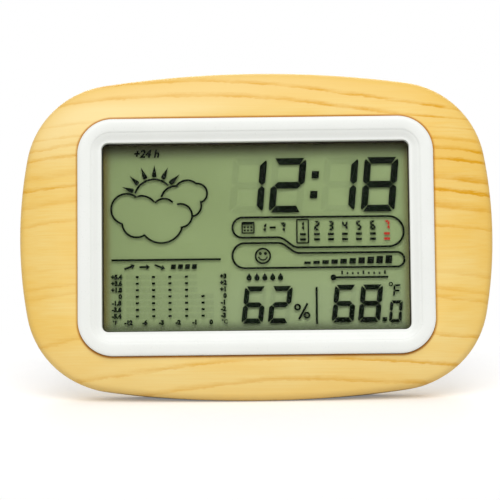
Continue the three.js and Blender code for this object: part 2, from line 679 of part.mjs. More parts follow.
/** The path of a battery spring: square to its plate, a tapering coil, and square to the cell. */
function springPath(side, z) {
  const base = bayHalfLength - STACK_GAP - CONTACT_THICKNESS;
  const lead = 2 * SPRING_WIRE_RADIUS;
  const points = [];
  const steps = Math.round(SPRING_TURNS * 8);
  const place = (reach, turn, along) => {
    const radius = SPRING_BASE_RADIUS + (SPRING_TIP_RADIUS - SPRING_BASE_RADIUS) * reach;
    const y = cellY + radius * Math.cos(turn);
    return new THREE.Vector3(side * (base - along), y, z + radius * Math.sin(turn));
  };
  const end = 2 * Math.PI * SPRING_TURNS;
  points.push(place(0, 0, -CONTACT_THICKNESS / 2));
  for (let i = 0; i <= steps; i += 1) {
    const reach = i / steps;
    points.push(place(reach, end * reach, lead + (SPRING_LENGTH - 2 * lead - 0.2) * reach));
  }
  points.push(place(1, end, SPRING_LENGTH - STACK_GAP));
  return points;
}

/** The least clear distance between neighbouring turns of a coil. */
function coilGap(points) {
  const samples = new THREE.CatmullRomCurve3(points).getSpacedPoints(200);
  let least = Infinity;
  for (let i = 0; i < samples.length; i += 1) {
    for (let j = i + 40; j < samples.length; j += 1) {
      least = Math.min(least, samples[i].distanceTo(samples[j]));
    }
  }
  return least - 2 * SPRING_WIRE_RADIUS;
}

/** A contact plate at one end of the bay, over the cells from a low to a high level. */
function contactPlate(side, low, high) {
  const outer = side * (bayHalfLength - STACK_GAP);
  const inner = side * (bayHalfLength - STACK_GAP - CONTACT_THICKNESS);
  const half = CONTACT_WIDTH / 2;
  const front = bayFloorRear + FIT_GAP;
  return block(Math.min(outer, inner), Math.max(outer, inner), front, cellY + 4, low - half, high + half);
}

/** A raised dimple on a contact plate, for the nub of a cell. */
function contactDimple(side, z) {
  const outer = side * (bayHalfLength - STACK_GAP - CONTACT_THICKNESS / 2);
  const inner = side * (bayHalfLength - STACK_GAP - CONTACT_THICKNESS - CONTACT_DIMPLE);
  return rodX(cellY, z, 1.5, Math.min(outer, inner), Math.max(outer, inner));
}

/** A tab through the bay's wall, where a lead is soldered. */
function contactTab(z) {
  const wall = -bayHalfLength + STACK_GAP;
  const front = bayFloorRear + FIT_GAP;
  return block(wall - BAY_WALL - 1.8, wall + CONTACT_THICKNESS, front, front + 0.6, z - 1.5, z + 1.5);
}

/** A lead from a contact's tab down to the board. */
function lead(z) {
  const end = -bayHalfLength - BAY_WALL - 1.9;
  const level = bayFloorRear + FIT_GAP + 0.3;
  const points = [
    new THREE.Vector3(end, level, z),
    new THREE.Vector3(end - 1, level, z),
    new THREE.Vector3(end - 2.2, level - 0.7, z),
    new THREE.Vector3(end - 2.6, partsFront + 1, z),
    new THREE.Vector3(end - 2.6, partsFront, z),
  ];
  return tube(points, WIRE_RADIUS, 10);
}

/** A push button: a cap in the cover's hole, a flange under it and a stem down to the switch. */
function button(z) {
  const stem = partsFront + SWITCH_HEIGHT + PLUNGER_RISE + STACK_GAP;
  const flange = coverInner - STACK_GAP;
  const top = rearFace + BUTTON_RISE;
  return turned([
    [0, stem],
    [BUTTON_STEM_RADIUS, stem],
    [BUTTON_STEM_RADIUS, flange - BUTTON_FLANGE_HEIGHT],
    [BUTTON_FLANGE_RADIUS, flange - BUTTON_FLANGE_HEIGHT],
    [BUTTON_FLANGE_RADIUS, flange],
    [BUTTON_RADIUS, flange],
    [BUTTON_RADIUS, top - 0.5],
    [BUTTON_RADIUS - 0.5, top],
    [0, top],
  ]).translate(BUTTON_X, 0, z);
}

/** The base of a switch, bored for its plunger. */
function switchBase(z) {
  const half = SWITCH_SIDE / 2;
  const rear = partsFront + SWITCH_HEIGHT;
  const base = block(BUTTON_X - half, BUTTON_X + half, partsFront, rear, z - half, z + half);
  return cut(base, rodY(BUTTON_X, z, PLUNGER_RADIUS + 0.25, partsFront + 0.8, rear + 1));
}

/** The plunger of a switch, which moves with the button over it. */
function switchPlunger(z) {
  const rear = partsFront + SWITCH_HEIGHT + PLUNGER_RISE;
  return rodY(BUTTON_X, z, PLUNGER_RADIUS, rear - 2.6, rear);
}

/** The stand about its own hinge, hanging straight down, its foot cut to the floor when it is open. */
function stand() {
  const half = STAND_WIDTH / 2;
  const thick = STAND_THICKNESS / 2;
  const pin = half + TRUNNION_LENGTH;
  const flap = block(-half, half, -thick, thick, -standLength, 0);
  const barrel = rodX(0, 0, STAND_BARREL_RADIUS, -half, half, DISC_SIDES);
  const foot = rodX(0, -standLength, STAND_FOOT_RADIUS, -half, half, DISC_SIDES);
  const trunnions = rodX(0, 0, TRUNNION_RADIUS, -pin, pin);
  const heel = block(-half, half, -0.6, 0.9, 0, STAND_BARREL_RADIUS + 0.9).rotateX(-standOpen);
  const ground = floorSlab().translate(0, -hingeY, -STAND_HINGE_Z).rotateX(-standOpen);
  return cut(join(flap, barrel, foot, trunnions, heel), ground);
}

const station = new THREE.Group();
station.name = "weather_station";
const body = new THREE.Group();
body.rotation.x = -lean;
station.add(body);

/** Adds one named piece to a group. */
function place(group, name, geometry, material) {
  const mesh = new THREE.Mesh(geometry, material);
  mesh.name = name;
  group.add(mesh);
}

place(body, "wood_frame", woodFrame(), MATERIALS.wood);
place(body, "bezel", bezel(), MATERIALS.white);
place(body, "display_window", sheet(windowFront, WINDOW_THICKNESS, -glassTop), MATERIALS.clear);
place(body, "dust_gasket", dustGasket(), MATERIALS.foam);
const polariser = sheet(polariserFront, POLARISER_THICKNESS, -glassTop, FILM_MARGIN);
const frontGlass = sheet(frontGlassFront, GLASS_THICKNESS, -glassTop - GLASS_LEDGE);
place(body, "lcd_front_polariser", polariser, MATERIALS.polariser);
place(body, "lcd_front_glass", frontGlass, MATERIALS.glass);
place(body, "lcd_rear_glass", sheet(rearGlassFront, GLASS_THICKNESS, -glassTop), MATERIALS.glass);
const reflector = sheet(reflectorFront, REFLECTOR_THICKNESS, -glassTop, FILM_MARGIN);
place(body, "lcd_reflector", reflector, MATERIALS.reflector);
place(body, "lcd_carrier", lcdCarrier(), MATERIALS.carrier);
place(body, "zebra_strip", zebraStrip(), MATERIALS.elastomer);
place(body, "main_board", mainBoard(), MATERIALS.board);

const blob = turned([
  [0, 0],
  [BLOB_RADIUS, 0],
  [BLOB_RADIUS * 0.93, BLOB_HEIGHT * 0.4],
  [BLOB_RADIUS * 0.7, BLOB_HEIGHT * 0.8],
  [BLOB_RADIUS * 0.35, BLOB_HEIGHT * 0.97],
  [0, BLOB_HEIGHT],
]);
place(body, "controller_blob", blob.translate(BLOB_X, partsFront, BLOB_Z), MATERIALS.resin);
const crystalY = partsFront + CRYSTAL_RADIUS;
const crystalZ = CRYSTAL_MARGIN - boardHalfHeight;
const crystal = rodX(crystalY, crystalZ, CRYSTAL_RADIUS, CRYSTAL_X, CRYSTAL_X + CRYSTAL_LENGTH);
place(body, "clock_crystal", crystal, MATERIALS.steel);
const buzzerRear = partsFront + BUZZER_HEIGHT;
const buzzer = cut(
  rodY(BUZZER_X, BUZZER_Z, BUZZER_RADIUS, partsFront, buzzerRear, DISC_SIDES),
  rodY(BUZZER_X, BUZZER_Z, 1.2, buzzerRear - 2, buzzerRear + 1),
);
place(body, "alarm_buzzer", buzzer, MATERIALS.dark);
const sensorLeft = SENSOR_X - SENSOR_WIDTH / 2;
const sensorRear = partsFront + SENSOR_DEPTH;
const sensorSlots = [-3, 0, 3].map((z) =>
  block(sensorLeft + 1.5, sensorLeft + SENSOR_WIDTH - 1.5, sensorRear - 1, sensorRear + 1, z - 0.6, z + 0.6),
);
const sensorBox = block(
  sensorLeft,
  sensorLeft + SENSOR_WIDTH,
  partsFront,
  sensorRear,
  -SENSOR_HEIGHT / 2,
  SENSOR_HEIGHT / 2,
);
place(body, "humidity_sensor", cut(sensorBox, ...sensorSlots), MATERIALS.sensor);
const bead = turned([
  [0, 0],
  [0.5, 0],
  [0.5, 3],
  [BEAD_RADIUS, 3.6],
  [BEAD_RADIUS, 4.8],
  [0.6, 5.6],
  [0, 5.6],
], BOSS_SIDES);
bead.translate(SENSOR_X, partsFront, -SENSOR_HEIGHT / 2 - 5);
place(body, "temperature_sensor", bead, MATERIALS.resin);

place(body, "rear_cover", rearCover(), MATERIALS.shell);
place(body, "battery_door", batteryDoor(), MATERIALS.shell);
const upperZ = BAY_Z + CELL_SPACING / 2;
const lowerZ = BAY_Z - CELL_SPACING / 2;
place(body, "battery_upper", cell(-1, upperZ), MATERIALS.cell);
place(body, "battery_lower", cell(1, lowerZ), MATERIALS.cell);
const springSteps = Math.round(SPRING_TURNS * 8) + 4;
const spring = (side, z) => tube(springPath(side, z), SPRING_WIRE_RADIUS, springSteps);
console.log(`battery spring, least gap between turns: ${coilGap(springPath(1, upperZ)).toFixed(2)} mm`);
const positive = join(contactPlate(-1, upperZ, upperZ), contactDimple(-1, upperZ), contactTab(upperZ));
const negative = join(contactPlate(-1, lowerZ, lowerZ), spring(-1, lowerZ), contactTab(lowerZ));
const bridge = join(contactPlate(1, lowerZ, upperZ), contactDimple(1, lowerZ), spring(1, upperZ));
place(body, "contact_positive", positive, MATERIALS.steel);
place(body, "contact_negative", negative, MATERIALS.steel);
place(body, "contact_bridge", bridge, MATERIALS.steel);
place(body, "wire_positive", lead(upperZ), MATERIALS.red);
place(body, "wire_negative", lead(lowerZ), MATERIALS.black);

BUTTON_NAMES.forEach((name, i) => {
  place(body, `${name}_button`, button(buttonZ(i)), MATERIALS.button);
  place(body, `${name}_plunger`, switchPlunger(buttonZ(i)), MATERIALS.dark);
  place(body, `${name}_switch`, switchBase(buttonZ(i)), MATERIALS.steel);
});

const caseSeat = skirtRear + 2 * STACK_GAP + POST_FLOOR;
const boardSeat = boardRear + STACK_GAP;
[[-1, 1], [1, 1], [-1, -1], [1, -1]].forEach(([side, level], i) => {
  const boardScrew = screw(side * bossX, level * boardBossZ, boardSeat, BOARD_SCREW_LENGTH);
  const caseScrew = screw(side * bossX, level * caseBossZ, caseSeat, CASE_SCREW_LENGTH);
  place(body, `board_screw_${i + 1}`, boardScrew, MATERIALS.steel);
  place(body, `case_screw_${i + 1}`, caseScrew, MATERIALS.steel);
});

const hinge = new THREE.Group();
hinge.position.set(0, hingeY, STAND_HINGE_Z);
hinge.rotation.x = standOpen;
body.add(hinge);
place(hinge, "stand", stand(), MATERIALS.shell);

// The origin is at the middle of the footprint, on the floor.
station.updateMatrixWorld(true);
const bounds = new THREE.Box3().setFromObject(station, true);
const middle = bounds.getCenter(new THREE.Vector3());
body.position.set(-middle.x, -middle.y, -bounds.min.z);

export default station;
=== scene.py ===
"""Looks of a digital weather station: a pine frame, a white bezel, a segment display and a moulded rear.

Pieces are modelled in millimetres in the upright frame of the face (x right, y to the rear, z up, origin in the
middle of the face). They are then settled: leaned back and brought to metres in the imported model's frame.
"""

import logging
import math
from collections.abc import Iterable, Iterator, Sequence
from contextlib import contextmanager
from dataclasses import dataclass, field
from enum import Enum
from functools import cached_property, reduce

import bpy
from mathutils import Matrix, Vector


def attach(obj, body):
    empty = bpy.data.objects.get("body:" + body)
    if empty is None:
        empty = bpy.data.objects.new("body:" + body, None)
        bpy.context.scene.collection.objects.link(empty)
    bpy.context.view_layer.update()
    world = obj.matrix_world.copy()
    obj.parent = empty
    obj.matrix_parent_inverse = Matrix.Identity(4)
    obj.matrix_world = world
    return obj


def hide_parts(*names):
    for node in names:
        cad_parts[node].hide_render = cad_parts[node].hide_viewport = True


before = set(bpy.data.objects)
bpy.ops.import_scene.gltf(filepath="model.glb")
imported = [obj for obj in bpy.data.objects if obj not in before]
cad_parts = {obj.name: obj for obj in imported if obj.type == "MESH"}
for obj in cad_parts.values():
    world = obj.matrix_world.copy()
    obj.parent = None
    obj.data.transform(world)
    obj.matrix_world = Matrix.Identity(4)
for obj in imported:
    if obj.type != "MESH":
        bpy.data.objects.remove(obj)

log = logging.getLogger("weather_station")

Piece = bpy.types.Object
Socket = bpy.types.NodeSocket
Point = tuple[float, float]
Shape = list[Point]
Loop = list[Vector]
Colour = tuple[float, float, float]

MM = 0.001
LEAN = math.radians(12.0)
STAND_OPEN = math.radians(23.0)
FACE = Vector((0.0, -0.01261599, 0.05866540))
UPRIGHT = Matrix.Translation(FACE) @ Matrix.Rotation(-LEAN, 4, "X") @ Matrix.Scale(MM, 4)
REAR_FACE = 26.55
SIDE_STEPS, CORNER_STEPS, TOP_STEPS = 9, 18, 12
WHITE = (1.0, 1.0, 1.0)


class Body(Enum):
    """The bodies that pieces ride on."""

    HOUSING = "housing"
    STAND = "stand"
    DOOR = "battery_door"
    MODE = "mode_button"
    UP = "up_button"
    DOWN = "down_button"
    UNIT = "unit_button"
    ALARM = "alarm_button"


class Slot(Enum):
    """The material slots of the part's record. The battery bay lists one beside each of its pieces, but no piece is
    given one.
    """

    PINE = "pine"
    BEZEL = "bezel_white"
    FOAM = "foam"
    GLASS = "display_glass"
    ELASTOMER = "elastomer"
    STEEL = "steel"
    SHELL = "shell"
    CELL = "cell"
    RED_WIRE = "red_wire"
    BLACK_WIRE = "black_wire"
    BUTTON = "button"


def linear(red: int, green: int, blue: int) -> Colour:
    """A colour as a shader takes it, from the 0 to 255 values of a screen."""
    ratios = [value / 255.0 for value in (red, green, blue)]
    return tuple(v / 12.92 if v <= 0.04045 else ((v + 0.055) / 1.055) ** 2.4 for v in ratios)


def grey(value: float) -> Colour:
    """A colour without hue."""
    return (value, value, value)


@dataclass(frozen=True)
class Span:
    """A smooth passage between two values: start at and below low, end at and above high."""

    low: float
    high: float
    start: float
    end: float


@dataclass(frozen=True)
class Clouds:
    """A cloudy pattern: clouds per millimetre along each axis, and the finer layers on top of them."""

    pitch: tuple[float, float, float]
    detail: float


class Recipe:
    """The nodes of one finish, laid round its shader."""

    def __init__(self, owner: bpy.types.Material | bpy.types.World, shader: str = "Principled BSDF") -> None:
        """Turns on the nodes of a material or a world.

        Args:
            owner: The material or the world.
            shader: The name of the shader in it.
        """
        owner.use_nodes = True
        self.tree = owner.node_tree
        self.shader = self.tree.nodes[shader]

    def node(self, kind: str) -> bpy.types.Node:
        """A new node of a kind."""
        return self.tree.nodes.new(kind)

    def feed(self, socket: Socket, value: object) -> None:
        """Links a socket to another socket, or sets it to a value.

        Args:
            socket: The input to fill.
            value: An output socket, a number, a colour or a vector.
        """
        if isinstance(value, Socket):
            self.tree.links.new(value, socket)
        elif isinstance(value, tuple) and len(value) == 3 and socket.type == "RGBA":
            socket.default_value = (*value, 1.0)
        else:
            socket.default_value = value

    def surface(self, **inputs: object) -> None:
        """Fills inputs of the shader, named with underscores for spaces."""
        for key, value in inputs.items():
            self.feed(self.shader.inputs[key.replace("_", " ")], value)

    def ray(self, kind: str) -> Socket:
        """Whether light comes along a kind of ray, as 0 or 1."""
        return self.node("ShaderNodeLightPath").outputs[kind]

    def place(self) -> Socket:
        """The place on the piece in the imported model's frame, in metres."""
        return self.node("ShaderNodeTexCoord").outputs["Object"]

    @cached_property
    def spot(self) -> Socket:
        """The place on the piece as it was modelled.

        Returns:
            The place in the upright frame, in millimetres.
        """
        upright = self.node("ShaderNodeMapping")
        back = Matrix.Rotation(LEAN, 3, "X") @ FACE
        self.feed(upright.inputs["Location"], tuple(-value / MM for value in back))
        self.feed(upright.inputs["Rotation"], (LEAN, 0.0, 0.0))
        self.feed(upright.inputs["Scale"], (1.0 / MM, 1.0 / MM, 1.0 / MM))
        self.feed(upright.inputs["Vector"], self.place())
        return upright.outputs["Vector"]

    @cached_property
    def axes(self) -> tuple[Socket, Socket, Socket]:
        """The same place taken apart.

        Returns:
            The place along x, y and z.
        """
        split = self.node("ShaderNodeSeparateXYZ")
        self.feed(split.inputs[0], self.spot)
        return split.outputs["X"], split.outputs["Y"], split.outputs["Z"]

    def noise(self, scale: float, detail: float, spot: Socket | None = None) -> Socket:
        """A cloudy value about one half.

        Args:
            scale: Clouds per millimetre.
            detail: Finer layers on top of the first.
            spot: The place, if it isn't the one on the piece.

        Returns:
            The value.
        """
        where = self.spot if spot is None else spot
        node = self.node("ShaderNodeTexNoise")
        for key, item in (("Vector", where), ("Scale", scale), ("Detail", detail)):
            self.feed(node.inputs[key], item)
        return node.outputs["Fac"]

    def grain(self, clouds: Clouds) -> Socket:
        """A cloudy value that is drawn out along the axes.

        Args:
            clouds: The pattern.

        Returns:
            The value.
        """
        drawn = self.node("ShaderNodeMapping")
        self.feed(drawn.inputs["Scale"], clouds.pitch)
        self.feed(drawn.inputs["Vector"], self.spot)
        return self.noise(1.0, clouds.detail, drawn.outputs["Vector"])

    def reckon(self, operation: str, *values: object) -> Socket:
        """A sum on one to three values.

        Args:
            operation: The sum, as Blender names it.
            values: Sockets or numbers.

        Returns:
            The result.
        """
        node = self.node("ShaderNodeMath")
        node.operation = operation
        for socket, value in zip(node.inputs, values):
            self.feed(socket, value)
        return node.outputs[0]

    def chain(self, operation: str, *values: Socket) -> Socket:
        """One sum after another, from the first value to the last."""
        return reduce(lambda first, second: self.reckon(operation, first, second), values)

    def span(self, value: Socket, span: Span) -> Socket:
        """A value brought smoothly from one range to another.

        Args:
            value: The value to bring over.
            span: The ranges.

        Returns:
            The value in the new range.
        """
        node = self.node("ShaderNodeMapRange")
        node.interpolation_type = "SMOOTHSTEP"
        ends = (("From Min", span.low), ("From Max", span.high), ("To Min", span.start), ("To Max", span.end))
        for key, item in (("Value", value), *ends):
            self.feed(node.inputs[key], item)
        return node.outputs["Result"]

    def between(self, cloud: Socket, start: float, end: float) -> Socket:
        """A cloudy value, which seldom leaves 0.3 to 0.7, brought between two values."""
        return self.span(cloud, Span(0.3, 0.7, start, end))

    def blend(self, share: object, first: object, second: object) -> Socket:
        """A colour between two.

        Args:
            share: How much of the second colour.
            first: The colour at a share of zero.
            second: The colour at a share of one.

        Returns:
            The mixed colour.
        """
        node = self.node("ShaderNodeMix")
        node.data_type = "RGBA"
        for index, item in ((0, share), (6, first), (7, second)):
            self.feed(node.inputs[index], item)
        return node.outputs[2]

    def ramp(self, value: Socket, stops: Sequence[Point]) -> Socket:
        """A grey value that follows stops along a line.

        Args:
            value: The place along the line, 0 to 1.
            stops: Pairs of place and grey value, in order.

        Returns:
            The grey value.
        """
        node = self.node("ShaderNodeValToRGB")
        elements = node.color_ramp.elements
        for index, (place, shade) in enumerate(stops):
            element = elements[index] if index < 2 else elements.new(place)
            element.position = place
            element.color = (*grey(shade), 1.0)
        self.feed(node.inputs["Fac"], value)
        return node.outputs["Color"]

    def relief(self, height: Socket, depth: float) -> None:
        """Gives the shader a bump.

        Args:
            height: The bump's height, 0 to 1.
            depth: What a height of 1 stands for, in millimetres.
        """
        node = self.node("ShaderNodeBump")
        for key, item in (("Strength", 1.0), ("Distance", depth * MM), ("Height", height)):
            self.feed(node.inputs[key], item)
        self.surface(Normal=node.outputs["Normal"])


MIXED: dict[str, bpy.types.Material] = {}


@dataclass(frozen=True)
class Finish:
    """A finish that is mixed once and then shared."""

    name: str

    def material(self) -> bpy.types.Material:
        """The finish's material, mixed on first use.

        Returns:
            The material.
        """
        if self.name not in MIXED:
            MIXED[self.name] = bpy.data.materials.new(self.name)
            self.mix(Recipe(MIXED[self.name]))
        return MIXED[self.name]

    def mix(self, recipe: Recipe) -> None:
        """Lays the finish's nodes; each kind of finish has its own."""
        raise NotImplementedError


@dataclass(frozen=True)
class GrowthLine:
    """A dark late-season line in the wood: its height, strength and thickness in millimetres."""

    height: float
    strength: float
    thickness: float


@dataclass(frozen=True)
class Wander:
    """How growth lines stray: the pattern that they follow, and how far they go in millimetres."""

    clouds: Clouds
    reach: float


@dataclass(frozen=True)
class Pine(Finish):
    """Lacquered pine: arched growth lines over pale wood, with fine fibres along the board.

    The growth lines arch about arch_x. They droop towards the right in the top band, and lie higher on the left,
    but lower there at the foot. A growth line is sharp below and fades upwards.
    """

    pale: Colour = linear(245, 214, 132)
    warm: Colour = linear(242, 199, 98)
    late: Colour = linear(222, 160, 0)
    # A paler cream, blended in towards the upper left and towards the foot.
    pale_cream: Colour = linear(253, 230, 168)
    edge: Colour = linear(238, 192, 88)
    # Painted shade for the gap round the bezel, laid along the seam.
    seam: Colour = linear(186, 116, 16)
    reach: float = 60.0
    lines: tuple[GrowthLine, ...] = (
        GrowthLine(-51.5, 0.40, 1.1),
        GrowthLine(-44.2, 0.50, 0.9),
        GrowthLine(-33.6, 0.50, 0.9),
        GrowthLine(-21.0, 0.30, 1.2),
        GrowthLine(-17.8, 0.32, 0.9),
        GrowthLine(-11.6, 0.18, 1.3),
        GrowthLine(5.3, 0.42, 0.9),
        GrowthLine(12.3, 0.40, 1.7),
        GrowthLine(17.8, 1.10, 0.9),
        GrowthLine(22.0, 0.50, 1.6),
        GrowthLine(28.7, 1.00, 0.8),
        GrowthLine(32.4, 0.65, 0.9),
        GrowthLine(36.0, 0.38, 0.8),
        GrowthLine(41.8, 0.28, 0.9),
        GrowthLine(50.5, 0.62, 1.0),
        GrowthLine(55.7, 0.60, 0.9),
    )
    line_section: tuple[Point, ...] = ((-0.4, 0.0), (0.0, 1.0), (1.6, 0.0))
    arch_x: float = 8.0
    arch_radius: float = 750.0
    droop: Span = Span(-20.0, 95.0, 0.0, 9.0)
    droop_band: Span = Span(36.0, 44.0, 0.0, 1.0)
    lift: Span = Span(-62.0, 20.0, -4.2, 0.0)
    lift_top: Span = Span(34.0, 46.0, 1.0, 0.35)
    lift_foot: Span = Span(-56.0, -20.0, -1.0, 1.0)
    wanders: tuple[Wander, ...] = (
        Wander(Clouds((0.022, 0.03, 0.05), 2.0), 3.0),
        Wander(Clouds((0.25, 0.25, 0.6), 3.0), 0.9),
        Wander(Clouds((0.55, 0.55, 2.4), 4.0), 1.1),
    )
    patches: Clouds = Clouds((0.07, 0.1, 0.3), 4.0)
    patch_strength: Span = Span(0.3, 0.62, 0.4, 1.15)
    side_strength: Span = Span(-80.0, 80.0, 0.8, 1.7)
    fibres: Clouds = Clouds((0.05, 0.6, 2.6), 6.0)
    fibre_strength: Point = (0.72, 1.12)
    fibre_tone: Span = Span(0.25, 0.75, -0.1, 0.35)
    fibre_gloss: Span = Span(0.2, 0.8, 0.5, 0.4)
    tones: Clouds = Clouds((0.02, 0.04, 0.09), 3.0)
    most_warm: float = 0.75
    heart_foot: Span = Span(6.0, 18.0, 0.0, 1.0)
    heart_top: Span = Span(30.0, 46.0, 1.0, 0.0)
    heart_side: Span = Span(10.0, 65.0, 0.0, 0.5)
    cream_slope: float = -0.25
    cream_band: Span = Span(38.0, 62.0, 0.0, 0.75)
    turned_edge: Span = Span(0.8, 4.5, 0.0, 0.6)
    # Painted shade: a band near the top of the face is darkened and saturated with the edge colour, against the light
    # that falls on it from above.
    top_shade: Span = Span(45.5, 51.0, 0.0, 0.42)
    foot: Span = Span(-46.0, -28.0, 0.26, 0.0)
    seam_half: Point = (63.61, 42.51)
    seam_radius: float = 12.71
    # The seam's painted shade: strongest at the seam, gone about 1.1 mm out, fuller at the top and the bottom than at
    # the sides.
    seam_shade_reach: Span = Span(0.3, 1.1, 0.95, 0.0)
    seam_shade_level: Span = Span(28.0, 41.0, 0.55, 1.0)
    line_depth: float = 0.4
    grain_depth: float = 0.035

    def stops(self, upper: bool) -> list[Point]:
        """The growth lines of the board's upper or lower half.

        Args:
            upper: Whether the upper half is wanted.

        Returns:
            Places along the half, 0 to 1, with the strength there.
        """
        found = [(0.0, 0.0)]
        for line in self.lines:
            if (line.height > 0.0) != upper:
                continue
            base = line.height if upper else line.height + self.reach
            for shift, share in self.line_section:
                found.append(((base + shift * line.thickness) / self.reach, share * line.strength))
        found.append((1.0, 0.0))
        return found

    def level(self, recipe: Recipe) -> Socket:
        """The height on the board, bent as the growth lines are.

        Args:
            recipe: The finish's nodes.

        Returns:
            A height that stays the same along each growth line.
        """
        x, _, z = recipe.axes
        off_middle = recipe.reckon("ADD", x, -self.arch_x)
        arch = recipe.reckon("MULTIPLY", recipe.reckon("POWER", off_middle, 2.0), 0.5 / self.arch_radius)
        droop = recipe.chain("MULTIPLY", recipe.span(x, self.droop), recipe.span(z, self.droop_band))
        upright = recipe.chain("MULTIPLY", recipe.span(z, self.lift_top), recipe.span(z, self.lift_foot))
        lift = recipe.chain("MULTIPLY", recipe.span(x, self.lift), upright)
        strays = []
        for wander in self.wanders:
            cloud = recipe.grain(wander.clouds)
            strays.append(recipe.reckon("MULTIPLY_ADD", cloud, wander.reach, -wander.reach / 2.0))
        return recipe.chain("ADD", z, arch, droop, lift, *strays)

    def late_share(self, recipe: Recipe, level: Socket, fibre: Socket) -> Socket:
        """How much of the dark late wood shows.

        Args:
            recipe: The finish's nodes.
            level: The height along the growth lines.
            fibre: The fine fibres.

        Returns:
            The share of the late wood's colour.
        """
        upper = recipe.ramp(recipe.reckon("DIVIDE", level, self.reach), self.stops(True))
        below = recipe.reckon("ADD", level, self.reach)
        lower = recipe.ramp(recipe.reckon("DIVIDE", below, self.reach), self.stops(False))
        return recipe.chain(
            "MULTIPLY",
            recipe.reckon("MAXIMUM", upper, lower),
            recipe.span(recipe.grain(self.patches), self.patch_strength),
            recipe.span(recipe.axes[0], self.side_strength),
            recipe.between(fibre, *self.fibre_strength),
        )

    def ground(self, recipe: Recipe, level: Socket, fibre: Socket) -> Socket:
        """The wood's colour between its growth lines.

        Args:
            recipe: The finish's nodes.
            level: The height along the growth lines.
            fibre: The fine fibres.

        Returns:
            The colour.
        """
        x, y, z = recipe.axes
        tone = recipe.between(recipe.grain(self.tones), 0.0, self.most_warm)
        tone = recipe.reckon("ADD", tone, recipe.span(fibre, self.fibre_tone))
        heart = recipe.chain("MULTIPLY", recipe.span(level, self.heart_foot), recipe.span(level, self.heart_top))
        heart = recipe.chain("MULTIPLY", heart, recipe.span(x, self.heart_side))
        ground = recipe.blend(recipe.reckon("ADD", tone, heart), self.pale, self.warm)
        # Towards the upper left and towards the foot the wood is blended to a paler cream.
        outer = recipe.reckon("MULTIPLY_ADD", x, self.cream_slope, z)
        for value, span, colour in (
            (outer, self.cream_band, self.pale_cream),
            (y, self.turned_edge, self.edge),
            # Painted shade over a band near the top.
            (z, self.top_shade, self.edge),
            (z, self.foot, self.pale_cream),
        ):
            ground = recipe.blend(recipe.span(value, span), ground, colour)
        return ground

    def seam_shade_share(self, recipe: Recipe) -> Socket:
        """How much painted shade lies along the seam round the bezel, where the gap shades the wood.

        Args:
            recipe: The finish's nodes.

        Returns:
            The share of the seam's colour.
        """
        x, _, z = recipe.axes
        legs = []
        for along, half in zip((x, z), self.seam_half):
            beyond = recipe.reckon("SUBTRACT", recipe.reckon("ABSOLUTE", along), half - self.seam_radius)
            legs.append(recipe.reckon("POWER", recipe.reckon("MAXIMUM", beyond, 0.0), 2.0))
        out = recipe.reckon("SUBTRACT", recipe.reckon("SQRT", recipe.reckon("ADD", *legs)), self.seam_radius)
        upright = recipe.span(recipe.reckon("ABSOLUTE", z), self.seam_shade_level)
        return recipe.chain("MULTIPLY", recipe.span(out, self.seam_shade_reach), upright)

    def mix(self, recipe: Recipe) -> None:
        """Lays the growth lines, the fibres, the painted shade along the seam and the lacquer.

        Args:
            recipe: The finish's nodes.
        """
        level = self.level(recipe)
        fibre = recipe.grain(self.fibres)
        line = self.late_share(recipe, level, fibre)
        grained = recipe.blend(line, self.ground(recipe, level, fibre), self.late)
        recipe.surface(
            # The seam's colour is painted shade along the gap round the bezel.
            Base_Color=recipe.blend(self.seam_shade_share(recipe), grained, self.seam),
            Roughness=recipe.span(fibre, self.fibre_gloss),
            Specular_IOR_Level=0.25,
            Coat_Weight=0.05,
            Coat_Roughness=0.28,
        )
        sunk = recipe.reckon("MULTIPLY", line, self.line_depth)
        recipe.relief(recipe.reckon("SUBTRACT", fibre, sunk), self.grain_depth)


@dataclass(frozen=True)
class Moulded(Finish):
    """Moulded plastic, foam or resin: a colour with a faint second tone and a fine surface grain."""

    colour: Colour
    tone: Colour
    roughness: float = 0.45
    grain: float = 4.0
    depth: float = 0.01
    gleam: float = 0.5
    broad: float = 0.06
    swing: float = 0.06

    def mix(self, recipe: Recipe) -> None:
        """Lays the tones and the grain.

        Args:
            recipe: The finish's nodes.
        """
        share = recipe.between(recipe.noise(self.broad, 3.0), 0.0, 1.0)
        fine = recipe.noise(self.grain, 2.0)
        recipe.surface(
            Base_Color=recipe.blend(share, self.colour, self.tone),
            Roughness=recipe.span(fine, Span(0.2, 0.8, self.roughness - self.swing, self.roughness + self.swing)),
            Specular_IOR_Level=self.gleam,
        )
        recipe.relief(fine, self.depth)


@dataclass(frozen=True)
class ClearSheet(Finish):
    """A see-through sheet: glass, acrylic or film."""

    colour: Colour
    alpha: float
    roughness: float = 0.05
    wipe: float = 0.15
    swing: float = 0.04

    def mix(self, recipe: Recipe) -> None:
        """Sets a thin tint, with a faint wipe in its gloss.

        Args:
            recipe: The finish's nodes.
        """
        haze = recipe.noise(self.wipe, 2.0)
        gloss = recipe.between(haze, self.roughness, self.roughness + self.swing)
        recipe.surface(Base_Color=self.colour, Alpha=self.alpha, Roughness=gloss)


